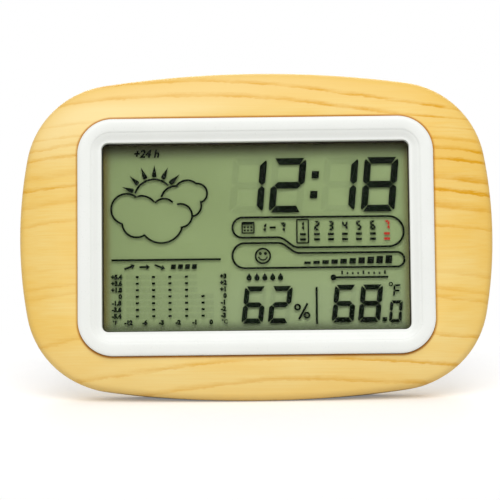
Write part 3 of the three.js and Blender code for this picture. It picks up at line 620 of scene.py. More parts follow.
@dataclass(frozen=True)
class ReflectorFilm(Finish):
    """The grey-green film behind the display: a fine speckle, painted light low down, and painted shade in the bezel's
    recess towards its margins, browner at the sides.
    """

    colour: Colour
    tone: Colour
    # Painted shade in the bezel's recess: brown at the sides.
    side_shade: Colour = linear(128, 112, 32)
    # Painted shade under the top lip.
    shade: Colour = linear(62, 54, 16)
    # Painted light low down, most of it towards the right.
    lit: Colour = linear(166, 184, 136)
    # Painted shade at the foot, dark green.
    foot: Colour = linear(56, 66, 34)
    side: float = 54.7
    top: float = 34.4
    bottom: float = -33.6
    drift: float = 0.035
    drift_tone: Point = (-0.08, 0.2)
    side_tone: float = 0.5
    speckle: float = 3.5
    speckle_tone: Point = (-0.08, 0.14)
    speckle_gloss: Point = (0.5, 0.7)
    low_light: Span = Span(-24.0, -4.0, 0.6, 0.0)
    low_side: Span = Span(-50.0, 15.0, 0.35, 1.0)
    left_margin: float = 3.4
    right_margin: float = 3.0
    foot_margin: float = 4.4
    top_margin: float = 7.0

    def mix(self, recipe: Recipe) -> None:
        """Lays a broad drift of tone under a speckle, and over both the painted light low down and the painted shade
        along the margins.

        Args:
            recipe: The finish's nodes.
        """
        x, _, z = recipe.axes
        speckle = recipe.noise(self.speckle, 2.0)
        drift = recipe.between(recipe.noise(self.drift, 2.0), *self.drift_tone)
        aside = recipe.span(x, Span(-self.side, self.side, 0.0, self.side_tone))
        share = recipe.chain("ADD", drift, aside, recipe.between(speckle, *self.speckle_tone))
        film = recipe.blend(share, self.colour, self.tone)
        left = recipe.span(x, Span(-self.side, -self.side + self.left_margin, 0.85, 0.0))
        right = recipe.span(x, Span(self.side - self.right_margin, self.side, 0.0, 0.55))
        for cover, colour in (
            # Painted light low down, stronger towards the right.
            (recipe.chain("MULTIPLY", recipe.span(z, self.low_light), recipe.span(x, self.low_side)), self.lit),
            # Painted shade: brown at the sides, dark green at the foot, dark under the top lip.
            (recipe.reckon("MAXIMUM", left, right), self.side_shade),
            (recipe.span(z, Span(self.bottom, self.bottom + self.foot_margin, 0.74, 0.0)), self.foot),
            (recipe.span(z, Span(self.top - self.top_margin, self.top, 0.0, 0.95)), self.shade),
        ):
            film = recipe.blend(cover, film, colour)
        recipe.surface(Base_Color=film, Roughness=recipe.between(speckle, *self.speckle_gloss))


@dataclass(frozen=True)
class Steel(Finish):
    """Plated steel with a drawn grain."""

    colour: Colour = linear(196, 198, 200)
    dulling: float = 0.82
    roughness: Point = (0.24, 0.4)
    drawn: Clouds = Clouds((0.4, 3.0, 3.0), 4.0)
    depth: float = 0.008

    def mix(self, recipe: Recipe) -> None:
        """Lays the drawn grain.

        Args:
            recipe: The finish's nodes.
        """
        drawn = recipe.grain(self.drawn)
        dull = tuple(value * self.dulling for value in self.colour)
        recipe.surface(
            Base_Color=recipe.blend(recipe.between(drawn, 0.0, 1.0), self.colour, dull),
            Metallic=1.0,
            Roughness=recipe.between(drawn, *self.roughness),
        )
        recipe.relief(drawn, self.depth)


@dataclass(frozen=True)
class CircuitBoard(Finish):
    """Solder-masked board: green with paler copper tracks and pads under the mask."""

    mask: Colour = linear(38, 96, 52)
    track: Colour = linear(66, 134, 74)
    pitch: float = 2.2
    track_half: Point = (0.28, 0.34)
    patch: float = 0.07
    patch_edge: Span = Span(0.48, 0.52, 0.0, 1.0)
    grain: float = 1.5
    gloss: Point = (0.3, 0.42)
    depth: float = 0.03

    def mix(self, recipe: Recipe) -> None:
        """Lays tracks along and across the board in patches.

        Args:
            recipe: The finish's nodes.
        """
        x, _, z = recipe.axes
        patch = recipe.span(recipe.noise(self.patch, 1.0), self.patch_edge)
        low, high = (self.pitch * half for half in self.track_half)
        waves = [recipe.reckon("PINGPONG", along, self.pitch) for along in (x, z)]
        ways = [recipe.span(wave, Span(low, high, 1.0, 0.0)) for wave in waves]
        turned = recipe.reckon("MULTIPLY", ways[1], recipe.reckon("SUBTRACT", 1.0, patch))
        share = recipe.reckon("ADD", recipe.reckon("MULTIPLY", ways[0], patch), turned)
        recipe.surface(
            Base_Color=recipe.blend(share, self.mask, self.track),
            Roughness=recipe.between(recipe.noise(self.grain, 2.0), *self.gloss),
        )
        recipe.relief(share, self.depth)


@dataclass(frozen=True)
class CellJacket(Finish):
    """A dry cell's printed jacket: two bands of colour between bare steel ends."""

    left: Colour
    right: Colour
    band: float
    start: float
    end: float
    bare: Colour = linear(190, 192, 194)
    band_blur: float = 0.1
    end_blur: float = 0.05
    grain: float = 0.8
    gloss: Point = (0.25, 0.4)
    depth: float = 0.01

    def past(self, recipe: Recipe, along: Socket, place: float, blur: float) -> Socket:
        """A step from 0 to 1 at a place along the cell."""
        return recipe.span(along, Span(place - blur, place + blur, 0.0, 1.0))

    def mix(self, recipe: Recipe) -> None:
        """Lays the bands along the cell.

        Args:
            recipe: The finish's nodes.
        """
        along = recipe.axes[0]
        jacket = recipe.blend(self.past(recipe, along, self.band, self.band_blur), self.left, self.right)
        beyond = self.past(recipe, along, self.end, self.end_blur)
        inside = recipe.reckon("SUBTRACT", self.past(recipe, along, self.start, self.end_blur), beyond)
        scuff = recipe.noise(self.grain, 4.0)
        recipe.surface(
            Base_Color=recipe.blend(inside, self.bare, jacket),
            Metallic=recipe.reckon("SUBTRACT", 1.0, inside),
            Roughness=recipe.between(scuff, *self.gloss),
        )
        recipe.relief(scuff, self.depth)


@dataclass(frozen=True)
class ZebraRubber(Finish):
    """The connector strip: rose silicone with thin dark conducting layers across it."""

    silicone: Colour = linear(226, 183, 178)
    layer: Colour = linear(70, 58, 58)
    pitch: float = 0.25
    layer_edge: Span = Span(0.1, 0.14, 0.0, 1.0)
    grain: float = 2.0
    gloss: Point = (0.7, 0.85)

    def mix(self, recipe: Recipe) -> None:
        """Lays the layers along the strip.

        Args:
            recipe: The finish's nodes.
        """
        share = recipe.span(recipe.reckon("PINGPONG", recipe.axes[0], self.pitch), self.layer_edge)
        recipe.surface(
            Base_Color=recipe.blend(share, self.silicone, self.layer),
            Roughness=recipe.between(recipe.noise(self.grain, 2.0), *self.gloss),
        )


PINE = Pine("lacquered_pine")
BEZEL_WHITE = Moulded("glossy_white", (0.86, 0.875, 0.835), (0.88, 0.894, 0.855), 0.32, 1.4, 0.0012)
SHELL = Moulded("rear_shell", linear(231, 229, 221), linear(228, 225, 216), 0.52, 3.2, 0.02)
BUTTON_RUBBER = Moulded("button_rubber", linear(196, 194, 186), linear(188, 185, 176), 0.62, 4.0, 0.012)
DARK_PLASTIC = Moulded("black_plastic", linear(36, 38, 42), linear(44, 46, 50), 0.5, 4.0, 0.01)
CARRIER = Moulded("display_carrier", linear(214, 214, 208), linear(206, 206, 198), 0.55, 3.0, 0.01)
SENSOR = Moulded("sensor_housing", linear(224, 228, 230), linear(214, 219, 222), 0.45, 3.0, 0.01)
RESIN = Moulded("black_resin", linear(20, 21, 25), linear(30, 31, 35), 0.28, 0.9, 0.02)
FOAM = Moulded("gasket_foam", linear(40, 34, 20), linear(56, 48, 30), 0.92, 2.2, 0.08)
RED_WIRE = Moulded("red_insulation", linear(172, 36, 28), linear(158, 28, 24), 0.42, 3.0, 0.006)
BLACK_WIRE = Moulded("black_insulation", linear(24, 25, 27), linear(34, 35, 37), 0.42, 3.0, 0.006)
WINDOW = ClearSheet("window_acrylic", (0.02, 0.022, 0.02), 0.015, 0.03)
POLARISER = ClearSheet("polariser_film", (0.03, 0.04, 0.02), 0.04, 0.2)
GLASS = ClearSheet("cell_glass", (0.02, 0.025, 0.02), 0.01, 0.05)
REFLECTOR = ReflectorFilm("reflector_film", linear(146, 166, 106), linear(168, 190, 128))
SEGMENT = Moulded("segment_dark", linear(2, 10, 1), linear(9, 22, 8), 0.5, 2.0, 0.002, 0.01)
REST_DAY = Moulded("segment_red", linear(196, 58, 42), linear(206, 70, 52), 0.5, 2.0, 0.002, 0.04)
GHOST = ClearSheet("segment_at_rest", linear(70, 86, 66), 0.035, 0.3)
STEEL = Steel("plated_steel")
BOARD = CircuitBoard("circuit_board")
ZEBRA = ZebraRubber("zebra_rubber")
SILVER = linear(190, 193, 194)
SLATE = linear(88, 96, 104)
UPPER_JACKET = CellJacket("upper_jacket", SILVER, SLATE, -14.0, -23.2, 19.6)
LOWER_JACKET = CellJacket("lower_jacket", SLATE, SILVER, 14.0, -19.6, 23.2)


class Pick(Enum):
    """What is picked in edit mode."""

    EDGE = "EDGE"
    FACE = "FACE"


def clear_bench() -> None:
    """Leaves nothing selected, in object mode."""
    if bpy.context.object is not None and bpy.context.object.mode != "OBJECT":
        bpy.ops.object.mode_set(mode="OBJECT")
    bpy.ops.object.select_all(action="DESELECT")


def take(piece: Piece) -> None:
    """Selects one piece alone and makes it active.

    Args:
        piece: The piece.
    """
    clear_bench()
    piece.select_set(True)
    bpy.context.view_layer.objects.active = piece


@contextmanager
def editing(piece: Piece, pick: Pick | None = None, everything: bool | None = True) -> Iterator[None]:
    """Opens a piece in edit mode and closes it again.

    Args:
        piece: The piece.
        pick: What is to be picked, if that matters.
        everything: Whether all of the piece starts selected, or nothing; None leaves it as it is.

    Yields:
        Nothing, while the piece is open.
    """
    take(piece)
    bpy.ops.object.mode_set(mode="EDIT")
    if pick is not None:
        bpy.ops.mesh.select_mode(type=pick.value)
    if everything is not None:
        bpy.ops.mesh.select_all(action="SELECT" if everything else "DESELECT")
    yield
    bpy.ops.object.mode_set(mode="OBJECT")


def name_piece(piece: Piece, name: str) -> Piece:
    """Names a piece and its mesh alike."""
    piece.name = piece.data.name = name
    return piece


def add(name: str, data: bpy.types.ID) -> Piece:
    """Puts a new object into the scene.

    Args:
        name: The object's name.
        data: Its mesh, lamp or camera.

    Returns:
        The object.
    """
    thing = bpy.data.objects.new(name, data)
    bpy.context.scene.collection.objects.link(thing)
    return thing


def tidy_skin(piece: Piece, distance: float = 0.0005) -> None:
    """Merges doubled points and turns the faces outwards.

    Args:
        piece: The closed piece.
        distance: How close two points are to count as one.
    """
    with editing(piece):
        bpy.ops.mesh.remove_doubles(threshold=distance)
        bpy.ops.mesh.normals_make_consistent(inside=False)


def skin(name: str, loops: Sequence[Loop], ring: bool = False) -> Piece:
    """Lays a loop of points and draws it out through the others.

    Args:
        name: The piece's name.
        loops: Loops with equal counts of points.
        ring: Whether the last loop joins the first; otherwise both ends are filled.

    Returns:
        The closed piece.
    """
    count = len(loops[0])
    clear_bench()
    bpy.ops.mesh.primitive_circle_add(vertices=count, radius=1.0, fill_type="NOTHING")
    piece = name_piece(bpy.context.object, name)
    for vertex, point in zip(piece.data.vertices, loops[0]):
        vertex.co = point
    bpy.ops.object.mode_set(mode="EDIT")
    bpy.ops.mesh.select_mode(type=Pick.EDGE.value)
    bpy.ops.mesh.select_all(action="SELECT")
    for loop in (*loops[1:], loops[0]) if ring else loops[1:]:
        bpy.ops.object.mode_set(mode="EDIT")
        bpy.ops.mesh.extrude_edges_move()
        bpy.ops.object.mode_set(mode="OBJECT")
        start = len(piece.data.vertices) - count
        for index, point in enumerate(loop):
            piece.data.vertices[start + index].co = point
    if not ring:
        with editing(piece):
            bpy.ops.mesh.fill_holes(sides=0)
    tidy_skin(piece)
    return piece


def stencil(name: str, shapes: Sequence[Shape], front: float, rear: float) -> Piece:
    """Flat shapes in the plane of the face, given a thickness.

    Args:
        name: The piece's name.
        shapes: Closed outlines as x and z pairs.
        front: Depth of the near faces.
        rear: Depth of the far faces.

    Returns:
        The piece with all the shapes.
    """
    clear_bench()
    bpy.ops.mesh.primitive_circle_add(vertices=len(shapes[0]), radius=1.0, fill_type="NGON")
    piece = name_piece(bpy.context.object, name)
    bpy.ops.object.mode_set(mode="EDIT")
    for shape in shapes[1:]:
        bpy.ops.mesh.primitive_circle_add(vertices=len(shape), radius=1.0, fill_type="NGON")
    bpy.ops.object.mode_set(mode="OBJECT")
    corners = [corner for shape in shapes for corner in shape]
    for vertex, (x, z) in zip(piece.data.vertices, corners):
        vertex.co = (x, rear, z)
    with editing(piece):
        bpy.ops.mesh.extrude_region_move(TRANSFORM_OT_translate={"value": (0.0, front - rear, 0.0)})
        bpy.ops.mesh.select_all(action="SELECT")
        bpy.ops.mesh.normals_make_consistent(inside=False)
    return piece


def slab(name: str, low: Sequence[float], high: Sequence[float], edge: float) -> Piece:
    """A block between two corners with its edges rounded.

    Args:
        name: The piece's name.
        low: The lowest corner.
        high: The highest corner.
        edge: The width of the rounding.

    Returns:
        The block.
    """
    clear_bench()
    middle = [(a + b) / 2.0 for a, b in zip(low, high)]
    bpy.ops.mesh.primitive_cube_add(size=1.0, location=middle)
    piece = name_piece(bpy.context.object, name)
    piece.scale = [b - a for a, b in zip(low, high)]
    bpy.ops.object.transform_apply(location=True, rotation=False, scale=True)
    with editing(piece):
        bpy.ops.mesh.bevel(offset=edge, segments=2, affect="EDGES")
    return piece


def join(pieces: Sequence[Piece]) -> Piece:
    """Makes several pieces one.

    Args:
        pieces: The pieces; the first one's name stays.

    Returns:
        The joined piece.
    """
    clear_bench()
    for piece in pieces:
        piece.select_set(True)
    bpy.context.view_layer.objects.active = pieces[0]
    bpy.ops.object.join()
    return pieces[0]


def duplicate(piece: Piece, name: str) -> Piece:
    """A copy of a piece with its own mesh."""
    return name_piece(add(name, piece.data.copy()), name)


def copy_of_node(node: str, name: str) -> Piece:
    """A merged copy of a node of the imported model, with flat faces made whole.

    Args:
        node: The node's name.
        name: The new piece's name.

    Returns:
        The copy, in metres and in place.
    """
    piece = duplicate(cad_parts[node], name)
    piece.data.materials.clear()
    take(piece)
    bpy.ops.mesh.customdata_custom_splitnormals_clear()
    tidy_skin(piece, 2e-6)
    with editing(piece):
        bpy.ops.mesh.dissolve_limited(angle_limit=math.radians(0.6))
    return piece


def settle(piece: Piece, place: Matrix = UPRIGHT) -> None:
    """Leans a piece back and brings it to metres, with its place in its mesh.

    Args:
        piece: The piece, in millimetres.
        place: Where it goes.
    """
    take(piece)
    piece.matrix_world = place
    bpy.ops.object.transform_apply(location=True, rotation=True, scale=True)


def smooth(piece: Piece, degrees: float = 40.0) -> None:
    """Shades a piece smooth across edges flatter than an angle."""
    take(piece)
    bpy.ops.object.shade_smooth_by_angle(angle=math.radians(degrees))


def steady_flats(piece: Piece) -> None:
    """Weighs a smooth piece's shading by the size of its faces, so that flats stay flat beside rounded edges.

    Args:
        piece: The piece.
    """
    take(piece)
    bpy.ops.object.modifier_add(type="WEIGHTED_NORMAL")
    weighing = piece.modifiers[-1]
    weighing.keep_sharp = True
    bpy.ops.object.modifier_apply(modifier=weighing.name)


def soften(piece: Piece, width: float, segments: int) -> None:
    """Rounds the edges of a settled piece that are selected, by a width in millimetres."""
    with editing(piece, everything=None):
        bpy.ops.mesh.bevel(offset=width * MM, segments=segments, affect="EDGES", clamp_overlap=True)


def pick_nothing(piece: Piece, pick: Pick) -> None:
    """Leaves nothing of a piece selected, ready for edges or faces to be picked."""
    with editing(piece, pick, everything=False):
        pass


def pick_sharp_edges(piece: Piece, degrees: float) -> None:
    """Selects the edges of a piece that are sharper than an angle between faces."""
    with editing(piece, Pick.EDGE, everything=False):
        bpy.ops.mesh.edges_select_sharp(sharpness=math.radians(degrees))


def keep_level_edges(piece: Piece, depth: float, slack: float = 0.02) -> None:
    """Keeps only those edges of a settled piece selected that lie in one plane of the upright frame.

    Args:
        piece: The piece, in metres.
        depth: The plane's depth in millimetres.
        slack: How far an edge may lie off it.
    """
    back = UPRIGHT.inverted()
    depths = [(back @ vertex.co).y for vertex in piece.data.vertices]
    for edge in piece.data.edges:
        edge.select = edge.select and all(abs(depths[i] - depth) < slack for i in edge.vertices)
    for item in (*piece.data.vertices, *piece.data.polygons):
        item.select = False


def hand_over(
    piece: Piece, finish: Finish, nodes: Sequence[str] = (), body: Body = Body.HOUSING
) -> None:
    """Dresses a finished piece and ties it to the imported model.

    Args:
        piece: The piece, settled.
        finish: Its finish.
        nodes: The nodes that it stands for.
        body: The body it moves with.
    """
    piece.data.materials.clear()
    piece.data.materials.append(finish.material())
    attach(piece, body.value)
    if nodes:
        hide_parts(*nodes)
    log.info("%s: %d faces on %s", piece.name, len(piece.data.polygons), body.value)


def dress_node(node: str, finish: Finish) -> None:
    """Gives a node that stays in view its finish.

    Args:
        node: The node's name.
        finish: Its finish.
    """
    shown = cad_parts[node]
    shown.data.materials.clear()
    shown.data.materials.append(finish.material())
    log.info("%s: dressed as %s", node, finish.name)


def all_round(quarter: Shape) -> Shape:
    """A closed outline from its upper right quarter, drawn from the x axis to the z axis."""
    upper = quarter + [(-x, z) for x, z in reversed(quarter[:-1])]
    return upper + [(x, -z) for x, z in reversed(upper[1:-1])]


def arc(x: float, z: float, radius: float, start: float, end: float, steps: int) -> Shape:
    """Points along an arc.

    Args:
        x: Centre, to the right.
        z: Centre, up.
        radius: Radius.
        start: First angle in degrees.
        end: Last angle in degrees.
        steps: Spans between points.

    Returns:
        The points, ends included.
    """
    turns = [math.radians(start + (end - start) * i / steps) for i in range(steps + 1)]
    return [(x + radius * math.cos(turn), z + radius * math.sin(turn)) for turn in turns]


def circle(radius: float, sides: int) -> Shape:
    """A round outline about the origin."""
    return arc(0.0, 0.0, radius, 0.0, 360.0 * (sides - 1) / sides, sides - 1)


def rounding(across: float, deep: float, turns: Iterable[float]) -> list[Point]:
    """How far a rounded edge has drawn in and fallen back at some turns of its arc.

    Args:
        across: How far it draws in by its end at no turn.
        deep: How far it falls back by then.
        turns: The turns in degrees.

    Returns:
        Pairs of drawing in and falling back.
    """
    angles = [math.radians(turn) for turn in turns]
    return [(across * (1.0 - math.cos(angle)), deep * (1.0 - math.sin(angle))) for angle in angles]


def at_depth(outline: Shape, depth: float) -> Loop:
    """An outline as a loop of points at a depth."""
    return [Vector((x, depth, z)) for x, z in outline]


def turned_piece(name: str, levels: Sequence[Point], sides: int) -> Piece:
    """A round piece about the y axis, from pairs of radius and depth."""
    return skin(name, [at_depth(circle(radius, sides), depth) for radius, depth in levels])


def tube(name: str, path: Sequence[Vector], radius: float, sides: int = 10) -> Piece:
    """A round bar along a path.

    Args:
        name: The piece's name.
        path: Points along the bar's middle.
        radius: The bar's radius.
        sides: Faces round the bar.

    Returns:
        The bar.
    """
    loops = []
    ahead = (path[1] - path[0]).normalized()
    side = ahead.orthogonal().normalized()
    turns = [2.0 * math.pi * i / sides for i in range(sides)]
    for index, point in enumerate(path):
        before = path[max(index - 1, 0)]
        after = path[min(index + 1, len(path) - 1)]
        turned = (after - before).normalized()
        side = ahead.rotation_difference(turned) @ side
        ahead = turned
        upward = ahead.cross(side)
        loops.append([point + radius * (side * math.cos(t) + upward * math.sin(t)) for t in turns])
    return skin(name, loops)


@dataclass(frozen=True)
class RoundedBox:
    """A rectangle with round corners, which tighten when it is drawn inwards past a first stretch."""

    width: float
    height: float
    radius: float
    tight_from: float = 100.0
    tightening: float = 0.33
    least_radius: float = 0.05

    def outline(self, inset: float = 0.0) -> Shape:
        """The outline drawn inwards.

        Args:
            inset: How far it is drawn inwards.

        Returns:
            The closed outline.
        """
        right = self.width / 2.0 - inset
        high = self.height / 2.0 - inset
        tight = self.tightening * max(inset - self.tight_from, 0.0)
        radius = max(self.radius - inset - tight, self.least_radius)
        quarter = [(right, (high - radius) * i / SIDE_STEPS) for i in range(SIDE_STEPS)]
        quarter += arc(right - radius, high - radius, radius, 0.0, 90.0, CORNER_STEPS)
        quarter += [((right - radius) * (1.0 - i / TOP_STEPS), high) for i in range(1, TOP_STEPS + 1)]
        return all_round(quarter)


@dataclass(frozen=True)
class Pebble:
    """The frame's outline: eight arcs that run into each other."""

    width: float = 169.6
    height: float = 118.0
    rise: float = 0.45
    side_radius: float = 157.0
    top_radius: float = 382.0
    corner_radius: float = 32.8

    def centres(self) -> tuple[float, float, float, float]:
        """Where the arcs have their middles.

        Returns:
            The side arc's x, the top arc's z, and the corner arc's x and z.
        """
        side_x = self.width / 2.0 - self.side_radius
        top_z = self.height / 2.0 - self.top_radius
        near = self.side_radius - self.corner_radius
        far = self.top_radius - self.corner_radius
        spread = math.hypot(side_x, top_z)
        along = (near**2 - far**2 + spread**2) / (2.0 * spread)
        across = math.sqrt(near**2 - along**2)
        corner_x = side_x - (along * side_x + across * top_z) / spread
        corner_z = (along * top_z - across * side_x) / spread
        return side_x, top_z, corner_x, corner_z

    def outline(self, inset: float = 0.0) -> Shape:
        """The outline drawn inwards.

        Args:
            inset: How far it is drawn inwards.

        Returns:
            The closed outline.
        """
        side_x, top_z, corner_x, corner_z = self.centres()
        low = math.degrees(math.atan2(corner_z, corner_x - side_x))
        high = math.degrees(math.atan2(corner_z - top_z, corner_x))
        quarter = arc(side_x, 0.0, self.side_radius - inset, 0.0, low, SIDE_STEPS)[:-1]
        quarter += arc(corner_x, corner_z, self.corner_radius - inset, low, high, CORNER_STEPS)[:-1]
        quarter += arc(0.0, top_z, self.top_radius - inset, high, 90.0, TOP_STEPS)
        return [(x, z + self.rise) for x, z in all_round(quarter)]

    def inset_at(self, x: float, z: float) -> float:
        """How far inside the outline a point lies.

        Args:
            x: To the right.
            z: Up.

        Returns:
            The distance from the outline.
        """
        side_x, top_z, corner_x, corner_z = self.centres()
        right, high = abs(x), abs(z - self.rise)
        if math.atan2(high, right - side_x) <= math.atan2(corner_z, corner_x - side_x):
            return self.side_radius - math.hypot(right - side_x, high)
        if math.atan2(high - top_z, right) >= math.atan2(corner_z - top_z, corner_x):
            return self.top_radius - math.hypot(right, high - top_z)
        return self.corner_radius - math.hypot(right - corner_x, high - corner_z)


@dataclass
class WoodFrame:
    """The pine ring: a pillowed face round the bezel, a soft outer edge and a flat to stand on."""

    pebble: Pebble = Pebble()
    seam: RoundedBox = RoundedBox(127.22, 85.02, 12.71)
    hole: RoundedBox = RoundedBox(124.7, 82.5, 11.45)
    hole_edge: float = 0.4
    depth: float = 18.0
    rebate: float = 1.6
    arris: float = 0.5
    dome_inset: float = 14.5
    dome_drop: float = 2.6
    dome_power: float = 1.5
    shoulder_inset: float = 2.4
    shoulder_turn: float = 72.0
    rear_round: float = 1.5
    dome_steps: int = 14
    edge_steps: int = 9
    rear_turns: tuple[float, ...] = (0.0, 22.5, 45.0, 67.5, 90.0)

    def fall(self, inset: float) -> float:
        """How far the pillowed face falls back at a distance from the outline."""
        reach = (self.dome_inset - inset) / (self.dome_inset - self.shoulder_inset)
        return self.dome_drop * max(reach, 0.0) ** self.dome_power

    def face_loops(self) -> list[Loop]:
        """The face.

        Returns:
            Loops from the rebate's floor over the arris and across the pillowed face.
        """
        loops = [at_depth(self.seam.outline(), self.rebate), at_depth(self.seam.outline(), self.arris)]
        for out, back in rounding(self.arris, self.arris, (30.0, 60.0)):
            loops.append(at_depth(self.seam.outline(-out), back))
        inner = self.seam.outline(-self.arris)
        outer = self.pebble.outline(self.shoulder_inset)
        for step in range(self.dome_steps + 1):
            share = step / self.dome_steps
            line = [(a + (c - a) * share, b + (d - b) * share) for (a, b), (c, d) in zip(inner, outer)]
            loops.append([Vector((x, self.fall(self.pebble.inset_at(x, z)), z)) for x, z in line])
        return loops

    def edge_loops(self) -> list[Loop]:
        """The outside.

        Returns:
            Loops round the outer edge, down the side and round the rear edge.
        """
        turn = math.radians(self.shoulder_turn)
        radius = self.shoulder_inset / (1.0 - math.cos(turn))
        widest = self.dome_drop + radius * math.sin(turn)
        loops = []
        for step in range(1, self.edge_steps + 1):
            angle = turn * (1.0 - step / self.edge_steps)
            inset = radius * (1.0 - math.cos(angle))
            loops.append(at_depth(self.pebble.outline(inset), widest - radius * math.sin(angle)))
        for inset, short in rounding(self.rear_round, self.rear_round, self.rear_turns):
            loops.append(at_depth(self.pebble.outline(inset), self.depth - short))
        return loops

    def build(self) -> None:
        """Models the ring, cuts its foot flat and dresses it."""
        loops = self.face_loops() + self.edge_loops()
        loops.append(at_depth(self.hole.outline(-self.hole_edge), self.depth))
        loops.append(at_depth(self.hole.outline(), self.depth - self.hole_edge))
        loops.append(at_depth(self.hole.outline(), self.rebate))
        piece = skin("pine_frame", loops, ring=True)
        settle(piece)
        with editing(piece):
            bpy.ops.mesh.bisect(plane_co=(0.0, 0.0, 0.0), plane_no=(0.0, 0.0, 1.0), use_fill=True, clear_inner=True)
        smooth(piece, 35.0)
        hand_over(piece, PINE, ["wood_frame"])


@dataclass(frozen=True)
class Boss:
    """Four bored screw bosses: their height above and below the middle, and where boss and bore end."""

    level: float
    rear: float
    floor: float


@dataclass
class Bezel:
    """The white bezel: a crowned border that steps down to a lip, on a skirt with screw bosses."""

    outer: RoundedBox = RoundedBox(127.1, 84.9, 12.65, tight_from=3.2)
    border: float = 8.55
    crown: float = -1.85
    crown_inset: float = 2.6
    rim_inset: float = 1.7
    rim_drop: float = 0.6
    rim_turns: tuple[float, ...] = (84.0, 72.0, 60.0, 48.0, 36.0, 24.0, 12.0, 0.0)
    lip: float = -0.45
    lip_round: float = 0.25
    slope: tuple[Point, ...] = (
        (7.75, 0.0), (7.5, 0.04), (7.2, 0.14), (6.8, 0.3), (6.4, 0.47), (6.0, 0.64), (5.6, 0.79), (5.3, 0.88),
        (5.08, 0.94), (4.92, 1.01), (4.78, 1.1), (4.62, 1.19), (4.42, 1.25), (4.0, 1.31), (3.3, 1.37),
    )
    plate_rear: float = 2.2
    flange: float = 1.5
    flange_rear: float = 1.5
    skirt: float = 3.1
    skirt_rear: float = 16.0
    edge: float = 0.2
    boss_x: float = 58.45
    boss_radius: float = 2.1
    hole_radius: float = 1.1
    bosses: tuple[Boss, ...] = (Boss(11.1, 9.05, 4.6), Boss(26.1, 16.0, 9.2))

    def section(self) -> list[Point]:
        """The border's section.

        Returns:
            Pairs of inset and depth, from the lip's rear round the front to the skirt.
        """
        points = [(self.border, self.plate_rear), (self.border, self.lip + self.lip_round)]
        for out, back in rounding(self.lip_round, self.lip_round, (30.0, 60.0, 90.0)):
            points.append((self.border - out, self.lip + back))
        points += [(inset, self.lip - rise) for inset, rise in self.slope]
        points.append((self.crown_inset, self.crown))
        for inset, back in rounding(self.rim_inset, self.rim_drop, self.rim_turns):
            points.append((inset, self.crown + back))
        points += [(0.0, self.flange_rear - self.edge), (self.edge, self.flange_rear), (self.flange, self.flange_rear)]
        points += [(self.flange, self.skirt_rear), (self.skirt, self.skirt_rear), (self.skirt, self.plate_rear)]
        return points

    def boss(self, boss: Boss) -> Piece:
        """A bored boss about the origin.

        Args:
            boss: Where the boss and its bore end.

        Returns:
            The boss, from within the plate to its rear.
        """
        rim, bore, edge = self.boss_radius, self.hole_radius, self.edge
        levels = [(rim, self.plate_rear - edge), (rim, boss.rear - edge), (rim - edge, boss.rear)]
        return turned_piece("boss", levels + [(bore, boss.rear), (bore, boss.floor)], 24)

    def build(self) -> None:
        """Models the border, adds the bosses and dresses the piece."""
        loops = [at_depth(self.outer.outline(inset), depth) for inset, depth in self.section()]
        parts = [skin("bezel_ring", loops, ring=True)]
        for boss in self.bosses:
            model = self.boss(boss)
            for x in (-self.boss_x, self.boss_x):
                for z in (-boss.level, boss.level):
                    copy = duplicate(model, "boss_copy")
                    copy.location = (x, 0.0, z)
                    parts.append(copy)
            bpy.data.objects.remove(model)
        piece = join(parts)
        settle(piece)
        smooth(piece, 32.0)
        hand_over(piece, BEZEL_WHITE, ["bezel"])


def band(path: Shape, width: float) -> Shape:
    """A stroke along a path, as one closed outline.

    Args:
        path: Points along the stroke's middle.
        width: The stroke's width.

    Returns:
        The outline.
    """
    left, right = [], []
    for index, (x, z) in enumerate(path):
        before = Vector(path[index]) - Vector(path[index - 1]) if index else None
        after = Vector(path[index + 1]) - Vector(path[index]) if index < len(path) - 1 else None
        first = (before or after).normalized()
        second = (after or before).normalized()
        along = (first + second).normalized()
        reach = width / 2.0 / max(along.dot(second), 0.5)
        left.append((x - along.y * reach, z + along.x * reach))
        right.append((x + along.y * reach, z - along.x * reach))
    return left + right[::-1]


def closed_band(corners: Shape, width: float) -> list[Shape]:
    """Strokes from corner to corner and back to the first."""
    return [band([first, second], width) for first, second in zip(corners, corners[1:] + corners[:1])]


def ring(x: float, z: float, radius: float, width: float, steps: int = 20) -> list[Shape]:
    """A circle's stroke in two halves."""
    return [band(arc(x, z, radius, start, start + 180.0, steps), width) for start in (0.0, 180.0)]


def block(x: float, z: float, width: float, height: float, slant: float = 0.0) -> Shape:
    """A filled box about a point, its top shifted by a slant."""
    w, h = width / 2.0, height / 2.0
    return [(x - w, z - h), (x + w, z - h), (x + w + slant, z + h), (x - w + slant, z + h)]


def sweep(start: Point, end: Point, steps: int = 14) -> Shape:
    """A level line that bends smoothly to another level.

    Args:
        start: Where it starts.
        end: Where it ends.
        steps: Spans between points.

    Returns:
        Points along it.
    """
    (x, z), (far, low) = start, end
    shares = [step / steps for step in range(steps + 1)]
    rises = [(1.0 - math.cos(math.pi * share)) / 2.0 for share in shares]
    return [(x + (far - x) * share, z + (low - z) * rise) for share, rise in zip(shares, rises)]


class Figure(Enum):
    """The segments that make each figure."""

    ZERO = "abcdef"
    ONE = "bc"
    TWO = "abged"
    THREE = "abgcd"
    FOUR = "fgbc"
    FIVE = "afgcd"
    SIX = "afgedc"
    SEVEN = "abc"
    EIGHT = "abcdefg"
    F = "afge"


WEEK = tuple(Figure)[1:8]


@dataclass(frozen=True)
class DigitSize:
    """A seven-segment figure's size: width, height, stroke, slant in degrees and the gap between segments."""

    width: float
    height: float
    stroke: float
    slant: float
    gap: float = 0.1


